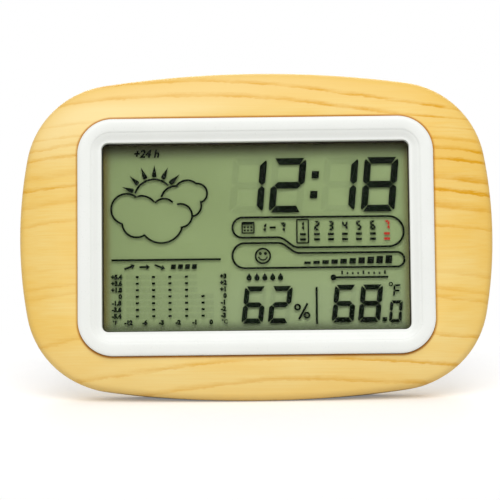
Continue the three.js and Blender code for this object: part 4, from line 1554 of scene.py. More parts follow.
TIME_DIGIT = DigitSize(12.1, 19.45, 2.4, 5.4)
HUMIDITY_DIGIT = DigitSize(7.65, 13.2, 1.8, 6.6)
TEMPERATURE_DIGIT = DigitSize(7.8, 13.3, 1.8, 6.2)
TENTHS_DIGIT = DigitSize(4.4, 7.7, 1.1, 5.0, 0.07)
UNIT_SIGN = DigitSize(2.7, 4.4, 0.65, 5.0, 0.06)
DAY_DIGIT = DigitSize(1.96, 3.4, 0.76, 0.0, 0.02)
DATE_DIGIT = DigitSize(2.2, 3.5, 0.88, 8.0, 0.02)


@dataclass(frozen=True)
class Digit:
    """A seven-segment figure by its lower left corner and its size."""

    x: float
    z: float
    size: DigitSize

    def segments(self) -> dict[str, Shape]:
        """The seven segments.

        Returns:
            Their outlines by their usual letters.
        """
        w, h, k, g = self.size.width, self.size.height, self.size.stroke, self.size.gap
        half, waist = h / 2.0, h / 2.0 + k / 2.0
        top = [(0.36 * k, h), (w - 0.36 * k, h), (w - k - g * 0.5, h - k), (k + g * 0.5, h - k)]
        left = [(0.0, h - 0.62 * k), (0.06 * k, h - 0.42 * k), (0.2 * k, h - 0.28 * k), (k, h - k - g * 1.6)]
        left += [(k, waist + g * 0.9), (k / 2.0, half + g), (0.0, waist * 0.8 + half * 0.2 + g)]
        bar = [(k / 2.0 + g, half), (k + g, waist), (w - k - g, waist), (w - k / 2.0 - g, half)]
        bar += [(w - k - g, h - waist), (k + g, h - waist)]
        shapes = {
            "a": top,
            "b": [(w - x, z) for x, z in left],
            "c": [(w - x, h - z) for x, z in left],
            "d": [(x, h - z) for x, z in top],
            "e": [(x, h - z) for x, z in left],
            "f": left,
            "g": bar,
        }
        lean = math.tan(math.radians(self.size.slant))
        return {key: [(self.x + x + z * lean, self.z + z) for x, z in shape] for key, shape in shapes.items()}

    def lit(self, figure: Figure) -> list[Shape]:
        """The segments that make a figure."""
        return [shape for key, shape in self.segments().items() if key in figure.value]

    def unlit(self, figure: Figure) -> list[Shape]:
        """The segments that a figure leaves at rest."""
        return [shape for key, shape in self.segments().items() if key not in figure.value]


@dataclass(frozen=True)
class Word:
    """A small figure or unit sign: its text, middle, height, slant and weight."""

    text: str
    x: float
    z: float
    size: float = 2.2
    slant: float = 0.0
    weight: float = 0.032


class Panel(Enum):
    """The fields of the display, each a piece of its own."""

    TIME = "time_figures"
    HUMIDITY = "humidity_figures"
    TEMPERATURE = "temperature_figures"
    RULES = "display_rules"
    DAYS = "day_strip"
    COMFORT = "comfort_strip"
    FORECAST = "forecast_picture"
    TREND = "trend_chart"


@dataclass
class Display:
    """What the display shows: figures, pictures, frames and scales, between the two glasses."""

    front: float = 5.53
    rear: float = 5.61
    rest_front: float = 5.64
    rest_rear: float = 5.7
    line: float = 0.72
    cloud_line: float = 0.7
    sun: Point = (-36.3, 13.6)
    scale_size: float = 2.15
    scale_weight: float = 0.075
    trend_top: float = -14.15
    trend_pitch: float = 2.32
    spread: Matrix = Matrix.Translation((0.0, 0.0, 0.46)) @ Matrix.Diagonal((1.0076, 1.0, 1.0128, 1.0))
    lit: dict[Panel, list[Shape]] = field(default_factory=dict)
    at_rest: list[Shape] = field(default_factory=list)
    words: list[Word] = field(default_factory=list)

    def draw(self, panel: Panel, *shapes: Shape) -> None:
        """Adds outlines to a field."""
        self.lit.setdefault(panel, []).extend(shapes)

    def show(self, panel: Panel, digit: Digit, figure: Figure) -> None:
        """Shows a figure and keeps its unused segments for the faint layer."""
        self.draw(panel, *digit.lit(figure))
        self.at_rest += digit.unlit(figure)

    def clock(self) -> None:
        """The time, in four tall figures and a colon."""
        for x, figure in ((-9.6, Figure.ONE), (4.5, Figure.TWO), (23.05, Figure.ONE), (37.35, Figure.EIGHT)):
            self.show(Panel.TIME, Digit(x, 8.3, TIME_DIGIT), figure)
        for x, z in ((20.625, 14.6), (21.275, 21.7)):
            self.draw(Panel.TIME, block(x, z, 2.55, 2.6, 0.25))

    def humidity(self) -> None:
        """The humidity with its unit sign, under a row of drops."""
        for x, figure in ((-5.55, Figure.SIX), (3.8, Figure.TWO)):
            self.show(Panel.HUMIDITY, Digit(x, -31.05, HUMIDITY_DIGIT), figure)
        self.draw(Panel.HUMIDITY, band([(15.0, -29.7), (18.05, -24.1)], 0.75))
        self.draw(Panel.HUMIDITY, *ring(14.5, -25.4, 0.88, 0.68), *ring(17.8, -28.3, 0.88, 0.68))
        drop = arc(0.0, 0.0, 0.95, 150.0, 390.0, 16) + [(0.0, 1.75)]
        for step in range(5):
            self.draw(Panel.HUMIDITY, [(-2.6 + 2.8 * step + u, -14.9 + v) for u, v in drop])

    def temperature(self) -> None:
        """The temperature with its unit sign, under a lying thermometer."""
        for x, figure in ((26.5, Figure.SIX), (35.85, Figure.EIGHT)):
            self.show(Panel.TEMPERATURE, Digit(x, -30.95, TEMPERATURE_DIGIT), figure)
        self.show(Panel.TEMPERATURE, Digit(46.85, -31.05, TENTHS_DIGIT), Figure.ZERO)
        self.draw(Panel.TEMPERATURE, block(45.3, -30.0, 1.6, 1.5, 0.15))
        self.show(Panel.TEMPERATURE, Digit(48.4, -22.1, UNIT_SIGN), Figure.F)
        self.draw(Panel.TEMPERATURE, *ring(47.75, -17.6, 0.6, 0.36))
        self.draw(Panel.TEMPERATURE, arc(27.4, -15.0, 1.05, 25.0, 335.0, 20), block(37.6, -15.0, 18.6, 0.7))
        for step in range(9):
            tall = 1.3 if step % 4 == 0 else 0.8
            self.draw(Panel.TEMPERATURE, block(30.5 + step * 1.9, -13.95 + tall / 2.0, 0.62, tall))

    def dividers(self) -> None:
        """The lines between the fields."""
        for ends in ([(-51.6, -8.1), (-12.6, -8.1)], [(21.35, -18.3), (21.35, -31.4)]):
            self.draw(Panel.RULES, band(ends, self.line))

    def day(self, index: int) -> list[Shape]:
        """The number of a day of the week, over two bars.

        Args:
            index: The day, from 0.

        Returns:
            The outlines.
        """
        x = 16.75 + 4.98 * index
        narrow = 0.55 if WEEK[index] is Figure.ONE else 0.0
        number = Digit(x - DAY_DIGIT.width / 2.0 - narrow, 1.75, DAY_DIGIT)
        return number.lit(WEEK[index]) + [block(x, z, 2.1, 0.85) for z in (0.45, -1.4)]

    def day_strip(self) -> None:
        """The week's frame with six numbered days, the first one boxed, after a calendar leaf."""
        upper = arc(-4.75, 3.05, 3.6, 180.0, 90.0, 12) + arc(47.2, 1.2, 5.4, 90.0, -90.0, 24)
        lower = arc(-4.75, 3.05, 3.6, 180.0, 270.0, 12) + sweep((7.9, -0.55), (15.1, -4.2)) + [(47.2, -4.2)]
        self.draw(Panel.DAYS, band(upper, self.line), band(lower, self.line))
        self.draw(Panel.DAYS, *closed_band([(14.6, 5.7), (18.7, 5.7), (18.7, -2.65), (14.6, -2.65)], 0.5))
        for index in range(6):
            self.draw(Panel.DAYS, *self.day(index))
        self.draw(Panel.DAYS, *closed_band([(-4.9, 4.9), (-0.7, 4.9), (-0.7, 1.1), (-4.9, 1.1)], 0.45))
        self.draw(Panel.DAYS, block(-2.8, 4.5, 4.0, 0.7))
        for column in range(3):
            for row in range(2):
                self.draw(Panel.DAYS, block(-4.0 + column * 1.2, 3.2 - row * 1.15, 0.7, 0.65))
        for x, figure in ((1.2, Figure.ONE), (8.0, Figure.SEVEN)):
            self.draw(Panel.DAYS, *Digit(x, 1.25, DATE_DIGIT).lit(figure))
        self.draw(Panel.DAYS, block(6.0, 3.0, 2.2, 0.7))

    def comfort_strip(self) -> None:
        """The comfort frame with a plain face and a row of level bars."""
        upper = arc(-4.0, -6.95, 4.45, 180.0, 90.0, 12) + sweep((7.9, -2.5), (15.4, -6.2))
        upper += arc(50.1, -8.8, 2.6, 90.0, 0.0, 10)
        lower = arc(-4.0, -6.95, 4.45, 180.0, 270.0, 12) + arc(50.1, -8.8, 2.6, 270.0, 360.0, 10)
        self.draw(Panel.COMFORT, band(upper, self.line), band(lower, self.line))
        self.draw(Panel.COMFORT, *ring(2.4, -7.1, 2.62, 0.62))
        self.draw(Panel.COMFORT, band(arc(2.4, -6.95, 1.6, 196.0, 344.0, 14), 0.5))
        for x in (1.5, 3.3):
            self.draw(Panel.COMFORT, arc(x, -6.25, 0.56, 0.0, 330.0, 11))
        for step in range(10):
            tall = 0.9 + step * 0.21
            self.draw(Panel.COMFORT, block(18.2 + step * 3.2, -10.15 + tall / 2.0, 2.3, tall, tall * 0.1))

    def clouds(self) -> None:
        """Two clouds, one before the other, and the sun's rim behind them."""
        front = arc(-40.7, 9.3, 5.5, 36.0, 112.0, 14) + arc(-46.1, 10.1, 5.5, 52.0, 252.0, 34)
        front += arc(-42.5, 5.2, 5.2, 184.0, 298.0, 20) + arc(-33.7, 5.7, 7.8, 219.0, 338.0, 26)
        front += arc(-26.9, 7.6, 4.2, 275.0, 466.0, 30)
        hollow = arc(-32.7, 9.4, 4.3, 43.0, 139.0, 16)
        back = arc(-28.6, 13.0, 5.2, 166.0, 84.0, 14) + arc(-24.4, 15.4, 4.8, 141.0, 47.0, 16)
        back += arc(-20.8, 15.5, 3.5, 90.0, -68.0, 22) + arc(-23.3, 11.1, 3.9, 20.0, -76.0, 14)
        rim = arc(*self.sun, 7.05, 162.0, 44.0, 22)
        for stroke in (front, hollow, back, rim):
            self.draw(Panel.FORECAST, band(stroke, self.cloud_line))

    def sunbeams(self) -> None:
        """Six tapering beams round the sun."""
        middle = Vector(self.sun)
        for turn, reach in ((158.6, 12.3), (136.0, 12.1), (112.0, 12.3), (89.0, 12.3), (66.0, 12.5), (43.5, 12.8)):
            along = Vector((math.cos(math.radians(turn)), math.sin(math.radians(turn))))
            across = Vector((-along.y, along.x))
            flank = ((reach, 0.0), (reach - 2.0, 0.42), (reach - 3.4, 0.78), (8.25, 0.82), (7.85, 0.5))
            right = [tuple(middle + along * out + across * wide) for out, wide in flank]
            left = [tuple(middle + along * out - across * wide) for out, wide in flank[1:]]
            self.draw(Panel.FORECAST, right + left[::-1])

    def forecast(self) -> None:
        """The sun behind two clouds, under the hours that it looks ahead."""
        self.clouds()
        self.sunbeams()
        self.words.append(Word("+24 h", -39.0, 29.7, 3.9, 0.2))

    def trend_row(self, row: int) -> None:
        """One row of the trend: its marks, the bars between them that aren't lit, and its figures.

        Args:
            row: The row, from 0 at the top.
        """
        z = self.trend_top - row * self.trend_pitch
        short = row < 3
        columns = (-42.4, -36.65, -30.8, -24.9, -19.05)
        for x in columns[:4] if short else columns:
            self.draw(Panel.TREND, block(x, z, 1.15, 0.75))
        ends = [-47.2, *columns[:4]] + ([-20.2] if short else [-19.05, -14.4])
        for start, end in zip(ends, ends[1:]):
            self.at_rest.append(block((start + end) / 2.0, z, end - start - 1.7, 1.8))
        left, right = 5.4 - 1.8 * row, 3 - row
        scales = ((f"{left:+.1f}", -49.8), (f"{right:+d}", -11.8)) if right else (("0", -48.5), ("0", -11.2))
        self.words += [Word(label, x, z, self.scale_size, weight=self.scale_weight) for label, x in scales]

    def trend_arrows(self) -> None:
        """Three arrows that rise, stay level and fall."""
        for x, rise in ((-47.0, 1.4), (-41.6, 0.0), (-36.2, -1.4)):
            tail, tip = Vector((x, -10.6 - rise / 2.0)), Vector((x + 3.8, -10.6 + rise / 2.0))
            along = (tip - tail).normalized()
            across = Vector((-along.y, along.x))
            neck = tip - along * 1.4
            self.draw(Panel.TREND, band([tuple(tail), tuple(neck)], 0.7))
            self.draw(Panel.TREND, [tuple(tip), tuple(neck + across), tuple(neck - across)])

    def trend_chart(self) -> None:
        """The trend's rows between two scales of figures, over the hours and under its arrows."""
        for row in range(7):
            self.trend_row(row)
        for label, x in (("-12", -45.6), ("-6", -39.8), ("-3", -33.85), ("-2", -27.95), ("-1", -22.0), ("0", -16.2)):
            self.words.append(Word(label, x, -30.4, self.scale_size, weight=self.scale_weight))
        self.words += [Word("°F", -50.4, -30.4, 2.0), Word("°C", -11.4, -30.3, 2.0)]
        self.trend_arrows()
        for step in range(4):
            self.draw(Panel.TREND, block(-29.6 + step * 2.5, -10.6, 1.7, 1.7, 0.2))

    def letter(self, name: str, words: Sequence[Word]) -> Piece:
        """Small figures as one flat piece.

        Args:
            name: The piece's name.
            words: What to set.

        Returns:
            The piece, upright in the plane of the face.
        """
        pieces = []
        depth = (self.front + self.rear) / 2.0
        for word in words:
            clear_bench()
            bpy.ops.object.text_add()
            text = bpy.context.object
            text.data.body = word.text
            text.data.size = word.size
            text.data.align_x = "CENTER"
            text.data.align_y = "CENTER"
            text.data.offset = word.weight * word.size
            text.data.shear = word.slant
            text.data.extrude = (self.rear - self.front) / 2.0
            text.data.resolution_u = 3
            bpy.ops.object.convert(target="MESH")
            stood = Matrix.Rotation(math.pi / 2.0, 4, "X")
            text.matrix_world = Matrix.Translation((word.x, depth, word.z)) @ stood
            pieces.append(name_piece(text, name))
        whole = join(pieces)
        take(whole)
        bpy.ops.object.transform_apply(location=True, rotation=True, scale=True)
        return whole

    def lay(self, piece: Piece, finish: Finish) -> None:
        """Lays a drawing between the glasses."""
        settle(piece, UPRIGHT @ self.spread)
        hand_over(piece, finish)

    def build(self) -> None:
        """Draws every field, lays the drawings between the glasses and dresses the glasses."""
        self.clock()
        self.humidity()
        self.temperature()
        self.dividers()
        self.day_strip()
        self.comfort_strip()
        self.forecast()
        self.trend_chart()
        for panel, shapes in self.lit.items():
            self.lay(stencil(panel.value, shapes, self.front, self.rear), SEGMENT)
        self.lay(self.letter("small_figures", self.words), SEGMENT)
        self.lay(stencil("rest_day_mark", self.day(6), self.front, self.rear), REST_DAY)
        self.lay(stencil("segments_at_rest", self.at_rest, self.rest_front, self.rest_rear), GHOST)
        for node, finish in (
            ("display_window", WINDOW),
            ("lcd_front_polariser", POLARISER),
            ("lcd_front_glass", GLASS),
            ("lcd_rear_glass", GLASS),
            ("lcd_reflector", REFLECTOR),
        ):
            dress_node(node, finish)


@dataclass
class DisplayMount:
    """What holds the display: the foam gasket, the connector strip and the carrier."""

    foam_outer: RoundedBox = RoundedBox(112.1, 70.8, 0.6)
    foam_inner: RoundedBox = RoundedBox(109.2, 67.0, 1.5)
    foam_front: float = 3.6
    foam_rear: float = 4.4
    strip_low: tuple[float, float, float] = (-50.0, 5.6, -37.4)
    strip_high: tuple[float, float, float] = (50.0, 9.05, -35.8)
    strip_edge: float = 0.2

    def gasket(self) -> Piece:
        """The foam ring, whose inner edge swells a little where it is squeezed.

        Returns:
            The ring.
        """
        outer, inner, front, rear = self.foam_outer, self.foam_inner, self.foam_front, self.foam_rear
        middle = (front + rear) / 2.0
        levels = [(outer, 0.1, front), (outer, 0.0, middle), (outer, 0.1, rear), (inner, -0.2, rear)]
        levels += [(inner, -0.05, rear - 0.2), (inner, 0.0, middle), (inner, -0.05, front + 0.2), (inner, -0.2, front)]
        return skin("foam_gasket", [at_depth(box.outline(inset), y) for box, inset, y in levels], ring=True)

    def build(self) -> None:
        """Models the soft pieces and dresses the carrier."""
        gasket = self.gasket()
        settle(gasket)
        smooth(gasket, 60.0)
        hand_over(gasket, FOAM, ["dust_gasket"])
        strip = slab("connector_strip", self.strip_low, self.strip_high, self.strip_edge)
        settle(strip)
        smooth(strip)
        hand_over(strip, ZEBRA, ["zebra_strip"])
        dress_node("lcd_carrier", CARRIER)


@dataclass
class RearShell:
    """The moulded rear: the cover with its vents and wells, and the sliding battery door."""

    edge: float = 0.3
    door_edge: float = 0.21
    sharp: float = 35.0
    smooth_to: float = 38.0
    arrow_z: Point = (30.0, 33.2)
    arrow_half: float = 4.0
    arrow_rise: float = 3.0
    arrow_width: float = 0.9
    arrow_sunk: float = 0.1
    arrow_proud: float = 0.35

    def shell(self, node: str, name: str, edge: float) -> Piece:
        """A copy of a solid with the edges at its rear face rounded.

        Args:
            node: The solid's node.
            name: The copy's name.
            edge: The rounding's width.

        Returns:
            The copy.
        """
        piece = copy_of_node(node, name)
        pick_sharp_edges(piece, self.sharp)
        keep_level_edges(piece, REAR_FACE)
        soften(piece, edge, 3)
        return piece

    def arrow(self) -> Piece:
        """The two chevrons that are raised on the door.

        Returns:
            The chevrons, settled.
        """
        half, rise = self.arrow_half, self.arrow_rise
        chevrons = [band([(-half, z), (0.0, z + rise), (half, z)], self.arrow_width) for z in self.arrow_z]
        arrow = stencil("door_arrow", chevrons, REAR_FACE - self.arrow_sunk, REAR_FACE + self.arrow_proud)
        settle(arrow)
        return arrow

    def build(self) -> None:
        """Models and dresses the cover, and the door with its arrow."""
        cover = self.shell("rear_cover", "rear_cover_shell", self.edge)
        door = self.shell("battery_door", "sliding_door", self.door_edge)
        door = join([door, self.arrow()])
        for piece, node, body in ((cover, "rear_cover", Body.HOUSING), (door, "battery_door", Body.DOOR)):
            smooth(piece, self.smooth_to)
            steady_flats(piece)
            hand_over(piece, SHELL, [node], body)


@dataclass
class Stand:
    """The fold-out stand: a flap on two trunnions with a sunk panel between its rims."""

    rim: float = 4.0
    panel_depth: float = 0.5
    facing: float = 0.99
    edge: float = 0.35
    sharp: float = 50.0
    smooth_to: float = 38.0

    def sink_panel(self, stand: Piece, outward: Vector) -> None:
        """Sinks the largest face of one side within a rim.

        Args:
            stand: The stand.
            outward: Which way that side faces.
        """
        pick_nothing(stand, Pick.FACE)
        facing = [face for face in stand.data.polygons if face.normal.dot(outward) > self.facing]
        max(facing, key=lambda face: face.area).select = True
        sink = tuple(-outward * self.panel_depth * MM)
        with editing(stand, everything=None):
            bpy.ops.mesh.inset(thickness=self.rim * MM, use_even_offset=True)
            bpy.ops.mesh.extrude_region_move(TRANSFORM_OT_translate={"value": sink})

    def build(self) -> None:
        """Copies the stand's solid, sinks the panels, rounds the edges and dresses it."""
        stand = copy_of_node("stand", "fold_out_stand")
        across = Matrix.Rotation(STAND_OPEN - LEAN, 3, "X") @ Vector((0.0, 1.0, 0.0))
        for outward in (across, -across):
            self.sink_panel(stand, outward)
        pick_sharp_edges(stand, self.sharp)
        soften(stand, self.edge, 2)
        smooth(stand, self.smooth_to)
        steady_flats(stand)
        hand_over(stand, SHELL, ["stand"], Body.STAND)


class Sign(Enum):
    """The plain sign raised on each button."""

    MODE = "mode"
    UP = "up"
    DOWN = "down"
    UNIT = "unit"
    ALARM = "alarm"

    def shapes(self) -> list[Shape]:
        """The sign's outlines about the button's middle.

        Returns:
            Three bars, a plus, a minus, a ring or a bell.
        """
        if self is Sign.MODE:
            return [block(0.0, z, 2.6, 0.4) for z in (-0.9, 0.0, 0.9)]
        level = [(-1.4, 0.0), (1.4, 0.0)]
        if self is Sign.UP:
            return [band(ends, 0.5) for ends in (level, [(0.0, 0.3), (0.0, 1.4)], [(0.0, -1.4), (0.0, -0.3)])]
        if self is Sign.DOWN:
            return [band(level, 0.5)]
        if self is Sign.UNIT:
            return ring(0.0, 0.0, 0.9, 0.45, 14)
        bell = arc(0.0, 0.3, 0.85, 0.0, 180.0, 12) + [(-0.95, -0.6), (-1.35, -1.0), (1.35, -1.0), (0.95, -0.6)]
        return [bell, arc(0.0, -1.25, 0.3, 180.0, 360.0, 8)]


@dataclass
class Buttons:
    """Five push buttons in a column, each a cap with a flange and a stem, and the switches under them."""

    x: float = 46.0
    top_z: float = 22.0
    pitch: float = 11.0
    radius: float = 3.2
    rise: float = 1.0
    crown: float = 0.12
    edge_inset: float = 0.55
    edge_drop: float = 0.5
    edge_turns: tuple[float, ...] = (0.0, 18.0, 36.0, 54.0, 72.0, 90.0)
    stem: float = 15.05
    stem_radius: float = 1.5
    flange_radius: float = 4.2
    flange_rear: float = 24.45
    flange_height: float = 1.2
    flange_edge: float = 0.15
    sign_sunk: float = 0.2
    sign_proud: float = 0.25

    def model(self) -> Piece:
        """One button about its own axis.

        Returns:
            The button.
        """
        top = REAR_FACE + self.rise
        wide, rear, edge = self.flange_radius, self.flange_rear, self.flange_edge
        front = rear - self.flange_height
        levels = [(self.stem_radius, self.stem), (self.stem_radius, front), (wide - edge, front), (wide, front + edge)]
        levels += [(wide, rear - edge), (wide - edge, rear), (self.radius, rear)]
        for inset, drop in rounding(self.edge_inset, self.edge_drop, self.edge_turns):
            levels.append((self.radius - inset, top - self.crown - drop))
        levels += [(self.radius * 0.5, top - 0.03), (self.radius * 0.2, top)]
        return turned_piece("button", levels, 48)

    def sign(self, sign: Sign) -> Piece:
        """A button's sign, which reads right from behind.

        Args:
            sign: Which one.

        Returns:
            The sign about the button's axis.
        """
        top = REAR_FACE + self.rise
        mark = stencil(f"{sign.value}_sign", sign.shapes(), top - self.sign_sunk, top + self.sign_proud)
        take(mark)
        mark.scale = (-1.0, 1.0, 1.0)
        bpy.ops.object.transform_apply(location=False, rotation=False, scale=True)
        tidy_skin(mark)
        return mark

    def build(self) -> None:
        """Copies the button five times, each with its sign, and dresses the switches."""
        model = self.model()
        for index, sign in enumerate(Sign):
            name = sign.value
            cap = join([duplicate(model, f"{name}_cap"), self.sign(sign)])
            settle(cap, UPRIGHT @ Matrix.Translation((self.x, 0.0, self.top_z - index * self.pitch)))
            smooth(cap, 35.0)
            body = Body(f"{name}_button")
            hand_over(cap, BUTTON_RUBBER, [f"{name}_button"], body)
            dress_node(f"{name}_plunger", DARK_PLASTIC)
            dress_node(f"{name}_switch", STEEL)
        bpy.data.objects.remove(model)


@dataclass
class BatteryBay:
    """Two dry cells between their contacts, with coil springs and soldered leads."""

    half_length: float = 25.85
    cell_y: float = 18.6
    upper_z: float = 26.1
    lower_z: float = 14.9
    cell_radius: float = 5.25
    cell_length: float = 44.5
    nub_radius: float = 1.9
    nub_length: float = 0.8
    floor_rear: float = 13.05
    floor_gap: float = 0.3
    plate_half: float = 4.2
    plate_reach: float = 4.0
    plate_thickness: float = 0.4
    plate_edge: float = 0.12
    stack_gap: float = 0.1
    dimple: float = 0.8
    tab_length: float = 3.4
    tab_root: float = 0.4
    tab_half: float = 1.5
    tab_thickness: float = 0.6
    tab_edge: float = 0.1
    spring_length: float = 5.2
    spring_wire: float = 0.35
    spring_base: float = 3.5
    spring_tip: float = 2.2
    spring_turns: float = 2.5
    spring_steps: int = 90
    spring_spare: float = 0.2
    wire_radius: float = 0.6
    board_rear: float = 10.45

    def plate_face(self) -> float:
        """How far from the middle of the bay a contact plate's inner face lies."""
        return self.half_length - self.stack_gap - self.plate_thickness

    def hoop(self, x: float, z: float, radius: float, sides: int) -> Loop:
        """A round loop about a cell's axis."""
        return [Vector((x, self.cell_y + u, z + v)) for u, v in circle(radius, sides)]

    def cell(self, name: str, side: float, z: float) -> Piece:
        """A cell along x with its nub towards a side.

        Args:
            name: The piece's name.
            side: 1 for the right, -1 for the left.
            z: The cell's height.

        Returns:
            The cell.
        """
        length, radius, nub = self.cell_length, self.cell_radius, self.nub_radius
        shoulder = length - self.nub_length
        end = self.plate_face() - self.dimple - self.stack_gap
        section = [(radius - 1.2, 0.0), (radius - 0.5, 0.05), (radius - 0.15, 0.2), (radius, 0.55)]
        section += [(radius, shoulder - 0.7), (radius - 0.12, shoulder - 0.3), (radius - 0.4, shoulder - 0.08)]
        section += [(radius - 0.8, shoulder), (radius - 1.0, shoulder - 0.15), (nub + 0.5, shoulder - 0.15)]
        section += [(nub, shoulder), (nub, length - 0.2), (nub - 0.2, length)]
        return skin(name, [self.hoop(side * (end - length + along), z, reach, 48) for reach, along in section])

    def spring(self, side: float, z: float) -> Piece:
        """A tapering coil from its plate to a cell.

        Args:
            side: 1 for the right, -1 for the left.
            z: The cell's height.

        Returns:
            The coil.
        """
        base = self.plate_face()
        lead = 2.0 * self.spring_wire
        end = 2.0 * math.pi * self.spring_turns

        def place(reach: float, along: float) -> Vector:
            """A point of the coil, by its share of the turns and its distance from the plate."""
            radius, turn = self.spring_base + (self.spring_tip - self.spring_base) * reach, end * reach
            return Vector((side * (base - along), self.cell_y + radius * math.cos(turn), z + radius * math.sin(turn)))

        path = [place(0.0, 0.0)]
        for step in range(self.spring_steps + 1):
            reach = step / self.spring_steps
            path.append(place(reach, lead + (self.spring_length - 2.0 * lead - self.spring_spare) * reach))
        path.append(place(1.0, self.spring_length - self.stack_gap))
        return tube("battery_spring", path, self.spring_wire)

    def plate(self, name: str, side: float, low: float, high: float) -> Piece:
        """A contact plate at one end of the bay.

        Args:
            name: The piece's name.
            side: 1 for the right, -1 for the left.
            low: The height of the lowest cell that it meets.
            high: The height of the highest cell.

        Returns:
            The plate.
        """
        outer = side * (self.half_length - self.stack_gap)
        inner = side * self.plate_face()
        near = (min(outer, inner), self.floor_rear + self.floor_gap, low - self.plate_half)
        far = (max(outer, inner), self.cell_y + self.plate_reach, high + self.plate_half)
        return slab(name, near, far, self.plate_edge)

    def dome(self, side: float, z: float) -> Piece:
        """The pressed dimple that meets a cell's nub.

        Args:
            side: 1 for the right, -1 for the left.
            z: The cell's height.

        Returns:
            The dimple.
        """
        levels = [(1.5, -0.2), (1.5, 0.35), (1.35, 0.6), (1.0, 0.75), (0.5, self.dimple)]
        base = self.plate_face()
        return skin("contact_dome", [self.hoop(side * (base - rise), z, reach, 24) for reach, rise in levels])

    def tab(self, z: float) -> Piece:
        """The tab through the bay's left wall, where a lead is soldered.

        Args:
            z: The tab's height.

        Returns:
            The tab.
        """
        wall = -self.half_length + self.stack_gap
        front = self.floor_rear + self.floor_gap
        low = (wall - self.tab_length, front, z - self.tab_half)
        high = (wall + self.tab_root, front + self.tab_thickness, z + self.tab_half)
        return slab("contact_tab", low, high, self.tab_edge)

    def lead(self, name: str, z: float) -> Piece:
        """A lead from a tab down to the board.

        Args:
            name: The piece's name.
            z: The lead's height.

        Returns:
            The lead.
        """
        end = -self.half_length - 3.5
        level = self.floor_rear + 0.6
        corners = [(end, level), (end - 1.0, level), (end - 2.2, level - 0.7)]
        corners += [(end - 2.6, self.board_rear + 1.0), (end - 2.6, self.board_rear)]
        corners = [Vector((*corner, z)) for corner in corners]
        path = [first.lerp(second, step / 4.0) for first, second in zip(corners, corners[1:]) for step in range(4)]
        path.append(corners[-1])
        for _ in range(2):
            inner = [(a + 2.0 * b + c) / 4.0 for a, b, c in zip(path, path[1:], path[2:])]
            path = [path[0], *inner, path[-1]]
        return tube(name, path, self.wire_radius, 16)

    def build(self) -> None:
        """Models cells, contacts and leads and dresses them."""
        upper, lower = self.upper_z, self.lower_z
        plus = [self.plate("plus_contact", -1.0, upper, upper), self.dome(-1.0, upper), self.tab(upper)]
        minus = [self.plate("minus_contact", -1.0, lower, lower), self.spring(-1.0, lower), self.tab(lower)]
        bridge = [self.plate("bridge_contact", 1.0, lower, upper), self.dome(1.0, lower), self.spring(1.0, upper)]
        for piece, finish, slot, node in (
            (self.cell("upper_cell", -1.0, upper), UPPER_JACKET, Slot.CELL, "battery_upper"),
            (self.cell("lower_cell", 1.0, lower), LOWER_JACKET, Slot.CELL, "battery_lower"),
            (join(plus), STEEL, Slot.STEEL, "contact_positive"),
            (join(minus), STEEL, Slot.STEEL, "contact_negative"),
            (join(bridge), STEEL, Slot.STEEL, "contact_bridge"),
            (self.lead("red_lead", upper), RED_WIRE, Slot.RED_WIRE, "wire_positive"),
            (self.lead("black_lead", lower), BLACK_WIRE, Slot.BLACK_WIRE, "wire_negative"),
        ):
            settle(piece)
            smooth(piece)
            hand_over(piece, finish, [node])


@dataclass
class Works:
    """The circuit board, what it carries, and the screws: solids that stay, with better finishes."""

    screws: int = 4

    def build(self) -> None:
        """Dresses the nodes."""
        for node, finish in (
            ("main_board", BOARD),
            ("controller_blob", RESIN),
            ("clock_crystal", STEEL),
            ("alarm_buzzer", DARK_PLASTIC),
            ("humidity_sensor", SENSOR),
            ("temperature_sensor", RESIN),
        ):
            dress_node(node, finish)
        for index in range(1, self.screws + 1):
            dress_node(f"board_screw_{index}", STEEL)
            dress_node(f"case_screw_{index}", STEEL)


@dataclass(frozen=True)
class Lamp:
    """A soft lamp: its name, place, width and height in metres, and power in watts."""

    name: str
    place: tuple[float, float, float]
    size: Point
    power: float


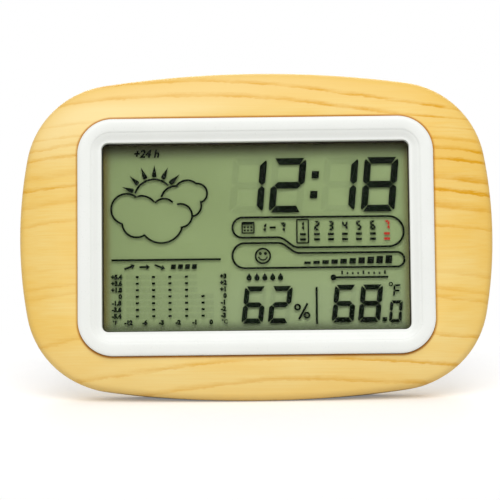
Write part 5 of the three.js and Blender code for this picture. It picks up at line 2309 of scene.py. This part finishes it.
@dataclass
class Studio:
    """The camera, the lamps and the white floor."""

    distance: float = 0.8
    azimuth: float = 0.73
    elevation: float = 6.4
    roll: float = 0.72
    sensor: float = 36.0
    image: int = 500
    millimetres_per_pixel: float = 0.3557
    middle_pixel: Point = (255.75, 235.18)
    face_depth: float = -1.85
    lamps: tuple[Lamp, ...] = (
        Lamp("front_box", (0.0, -0.78, 0.84), (0.9, 0.75), 7.3),
        Lamp("rear_box", (0.0, 0.95, 0.6), (0.9, 0.7), 4.0),
    )
    lamp_aim: tuple[float, float, float] = (0.0, 0.0, 0.06)
    fill: float = 0.52
    floor_size: float = 3.0
    floor_white: float = 0.9
    floor_fade: Span = Span(0.085, 0.2, 1.0, 0.0)
    bounce: float = 0.74
    glow: float = 0.2

    def camera(self) -> None:
        """Sets the camera at the photograph's viewing angle."""
        around, up = math.radians(self.azimuth), math.radians(self.elevation)
        towards = Vector((math.sin(around) * math.cos(up), -math.cos(around) * math.cos(up), math.sin(up)))
        level = Vector((0.0, 0.0, 1.0)).cross(towards).normalized()
        upward = towards.cross(level)
        turn = math.radians(self.roll)
        right = level * math.cos(turn) - upward * math.sin(turn)
        above = upward * math.cos(turn) + level * math.sin(turn)
        middle = UPRIGHT @ Vector((0.0, self.face_depth, 0.0))
        scale = self.millimetres_per_pixel * MM
        half = self.image / 2.0
        aim = middle - right * (self.middle_pixel[0] - half) * scale - above * (half - self.middle_pixel[1]) * scale
        data = bpy.data.cameras.new("camera")
        data.sensor_width = self.sensor
        data.lens = self.sensor * self.distance / (self.image * scale)
        data.clip_start = 0.01
        camera = add("camera", data)
        turned = Matrix((right, above, towards)).transposed().to_4x4()
        camera.matrix_world = Matrix.Translation(aim + towards * self.distance) @ turned
        bpy.context.scene.camera = camera

    def hang(self, lamp: Lamp) -> None:
        """Hangs a lamp so that it faces the object.

        Args:
            lamp: The lamp.
        """
        data = bpy.data.lights.new(lamp.name, "AREA")
        data.shape = "RECTANGLE"
        data.size, data.size_y = lamp.size
        data.energy = lamp.power
        hung = add(lamp.name, data)
        hung.location = lamp.place
        aim = Vector(self.lamp_aim) - Vector(lamp.place)
        hung.rotation_euler = aim.to_track_quat("-Z", "Y").to_euler()

    def sky(self) -> None:
        """Fills the room with even light, and shows white behind the object."""
        world = bpy.data.worlds.new("white_room")
        bpy.context.scene.world = world
        recipe = Recipe(world, "Background")
        kinds = ("Is Camera Ray", "Is Glossy Ray", "Is Transmission Ray")
        seen = recipe.chain("MAXIMUM", *(recipe.ray(kind) for kind in kinds))
        recipe.surface(Color=WHITE, Strength=recipe.span(seen, Span(0.0, 1.0, self.fill, 1.0)))

    def floor(self) -> None:
        """Lays the white floor, which fades into the white room."""
        clear_bench()
        bpy.ops.mesh.primitive_grid_add(x_subdivisions=8, y_subdivisions=8, size=self.floor_size)
        floor = name_piece(bpy.context.object, "floor")
        material = bpy.data.materials.new("white_floor")
        recipe = Recipe(material)
        seen = recipe.ray("Is Camera Ray")
        reach = recipe.node("ShaderNodeVectorMath")
        reach.operation = "LENGTH"
        recipe.feed(reach.inputs[0], recipe.place())
        recipe.surface(
            Base_Color=recipe.blend(seen, grey(self.bounce), grey(self.floor_white)),
            Emission_Color=WHITE,
            Emission_Strength=recipe.reckon("MULTIPLY", seen, self.glow),
            Roughness=0.9,
            Specular_IOR_Level=0.1,
            Alpha=recipe.span(reach.outputs["Value"], self.floor_fade),
        )
        floor.data.materials.append(material)

    def build(self) -> None:
        """Sets up the camera, the lamps, the room and the floor."""
        scene = bpy.context.scene
        scene.view_settings.view_transform = "Standard"
        scene.cycles.transparent_max_bounces = 32
        self.camera()
        for lamp in self.lamps:
            self.hang(lamp)
        self.sky()
        self.floor()


def main() -> None:
    """Builds the studio and every sub-assembly in order."""
    logging.basicConfig(level=logging.INFO, format="%(name)s %(message)s")
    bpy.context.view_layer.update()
    Studio().build()
    for assembly in (
        WoodFrame(),
        Bezel(),
        Display(),
        DisplayMount(),
        RearShell(),
        Stand(),
        Buttons(),
        BatteryBay(),
        Works(),
    ):
        log.info("building %s", type(assembly).__name__)
        assembly.build()


if __name__ == "__main__":
    main()
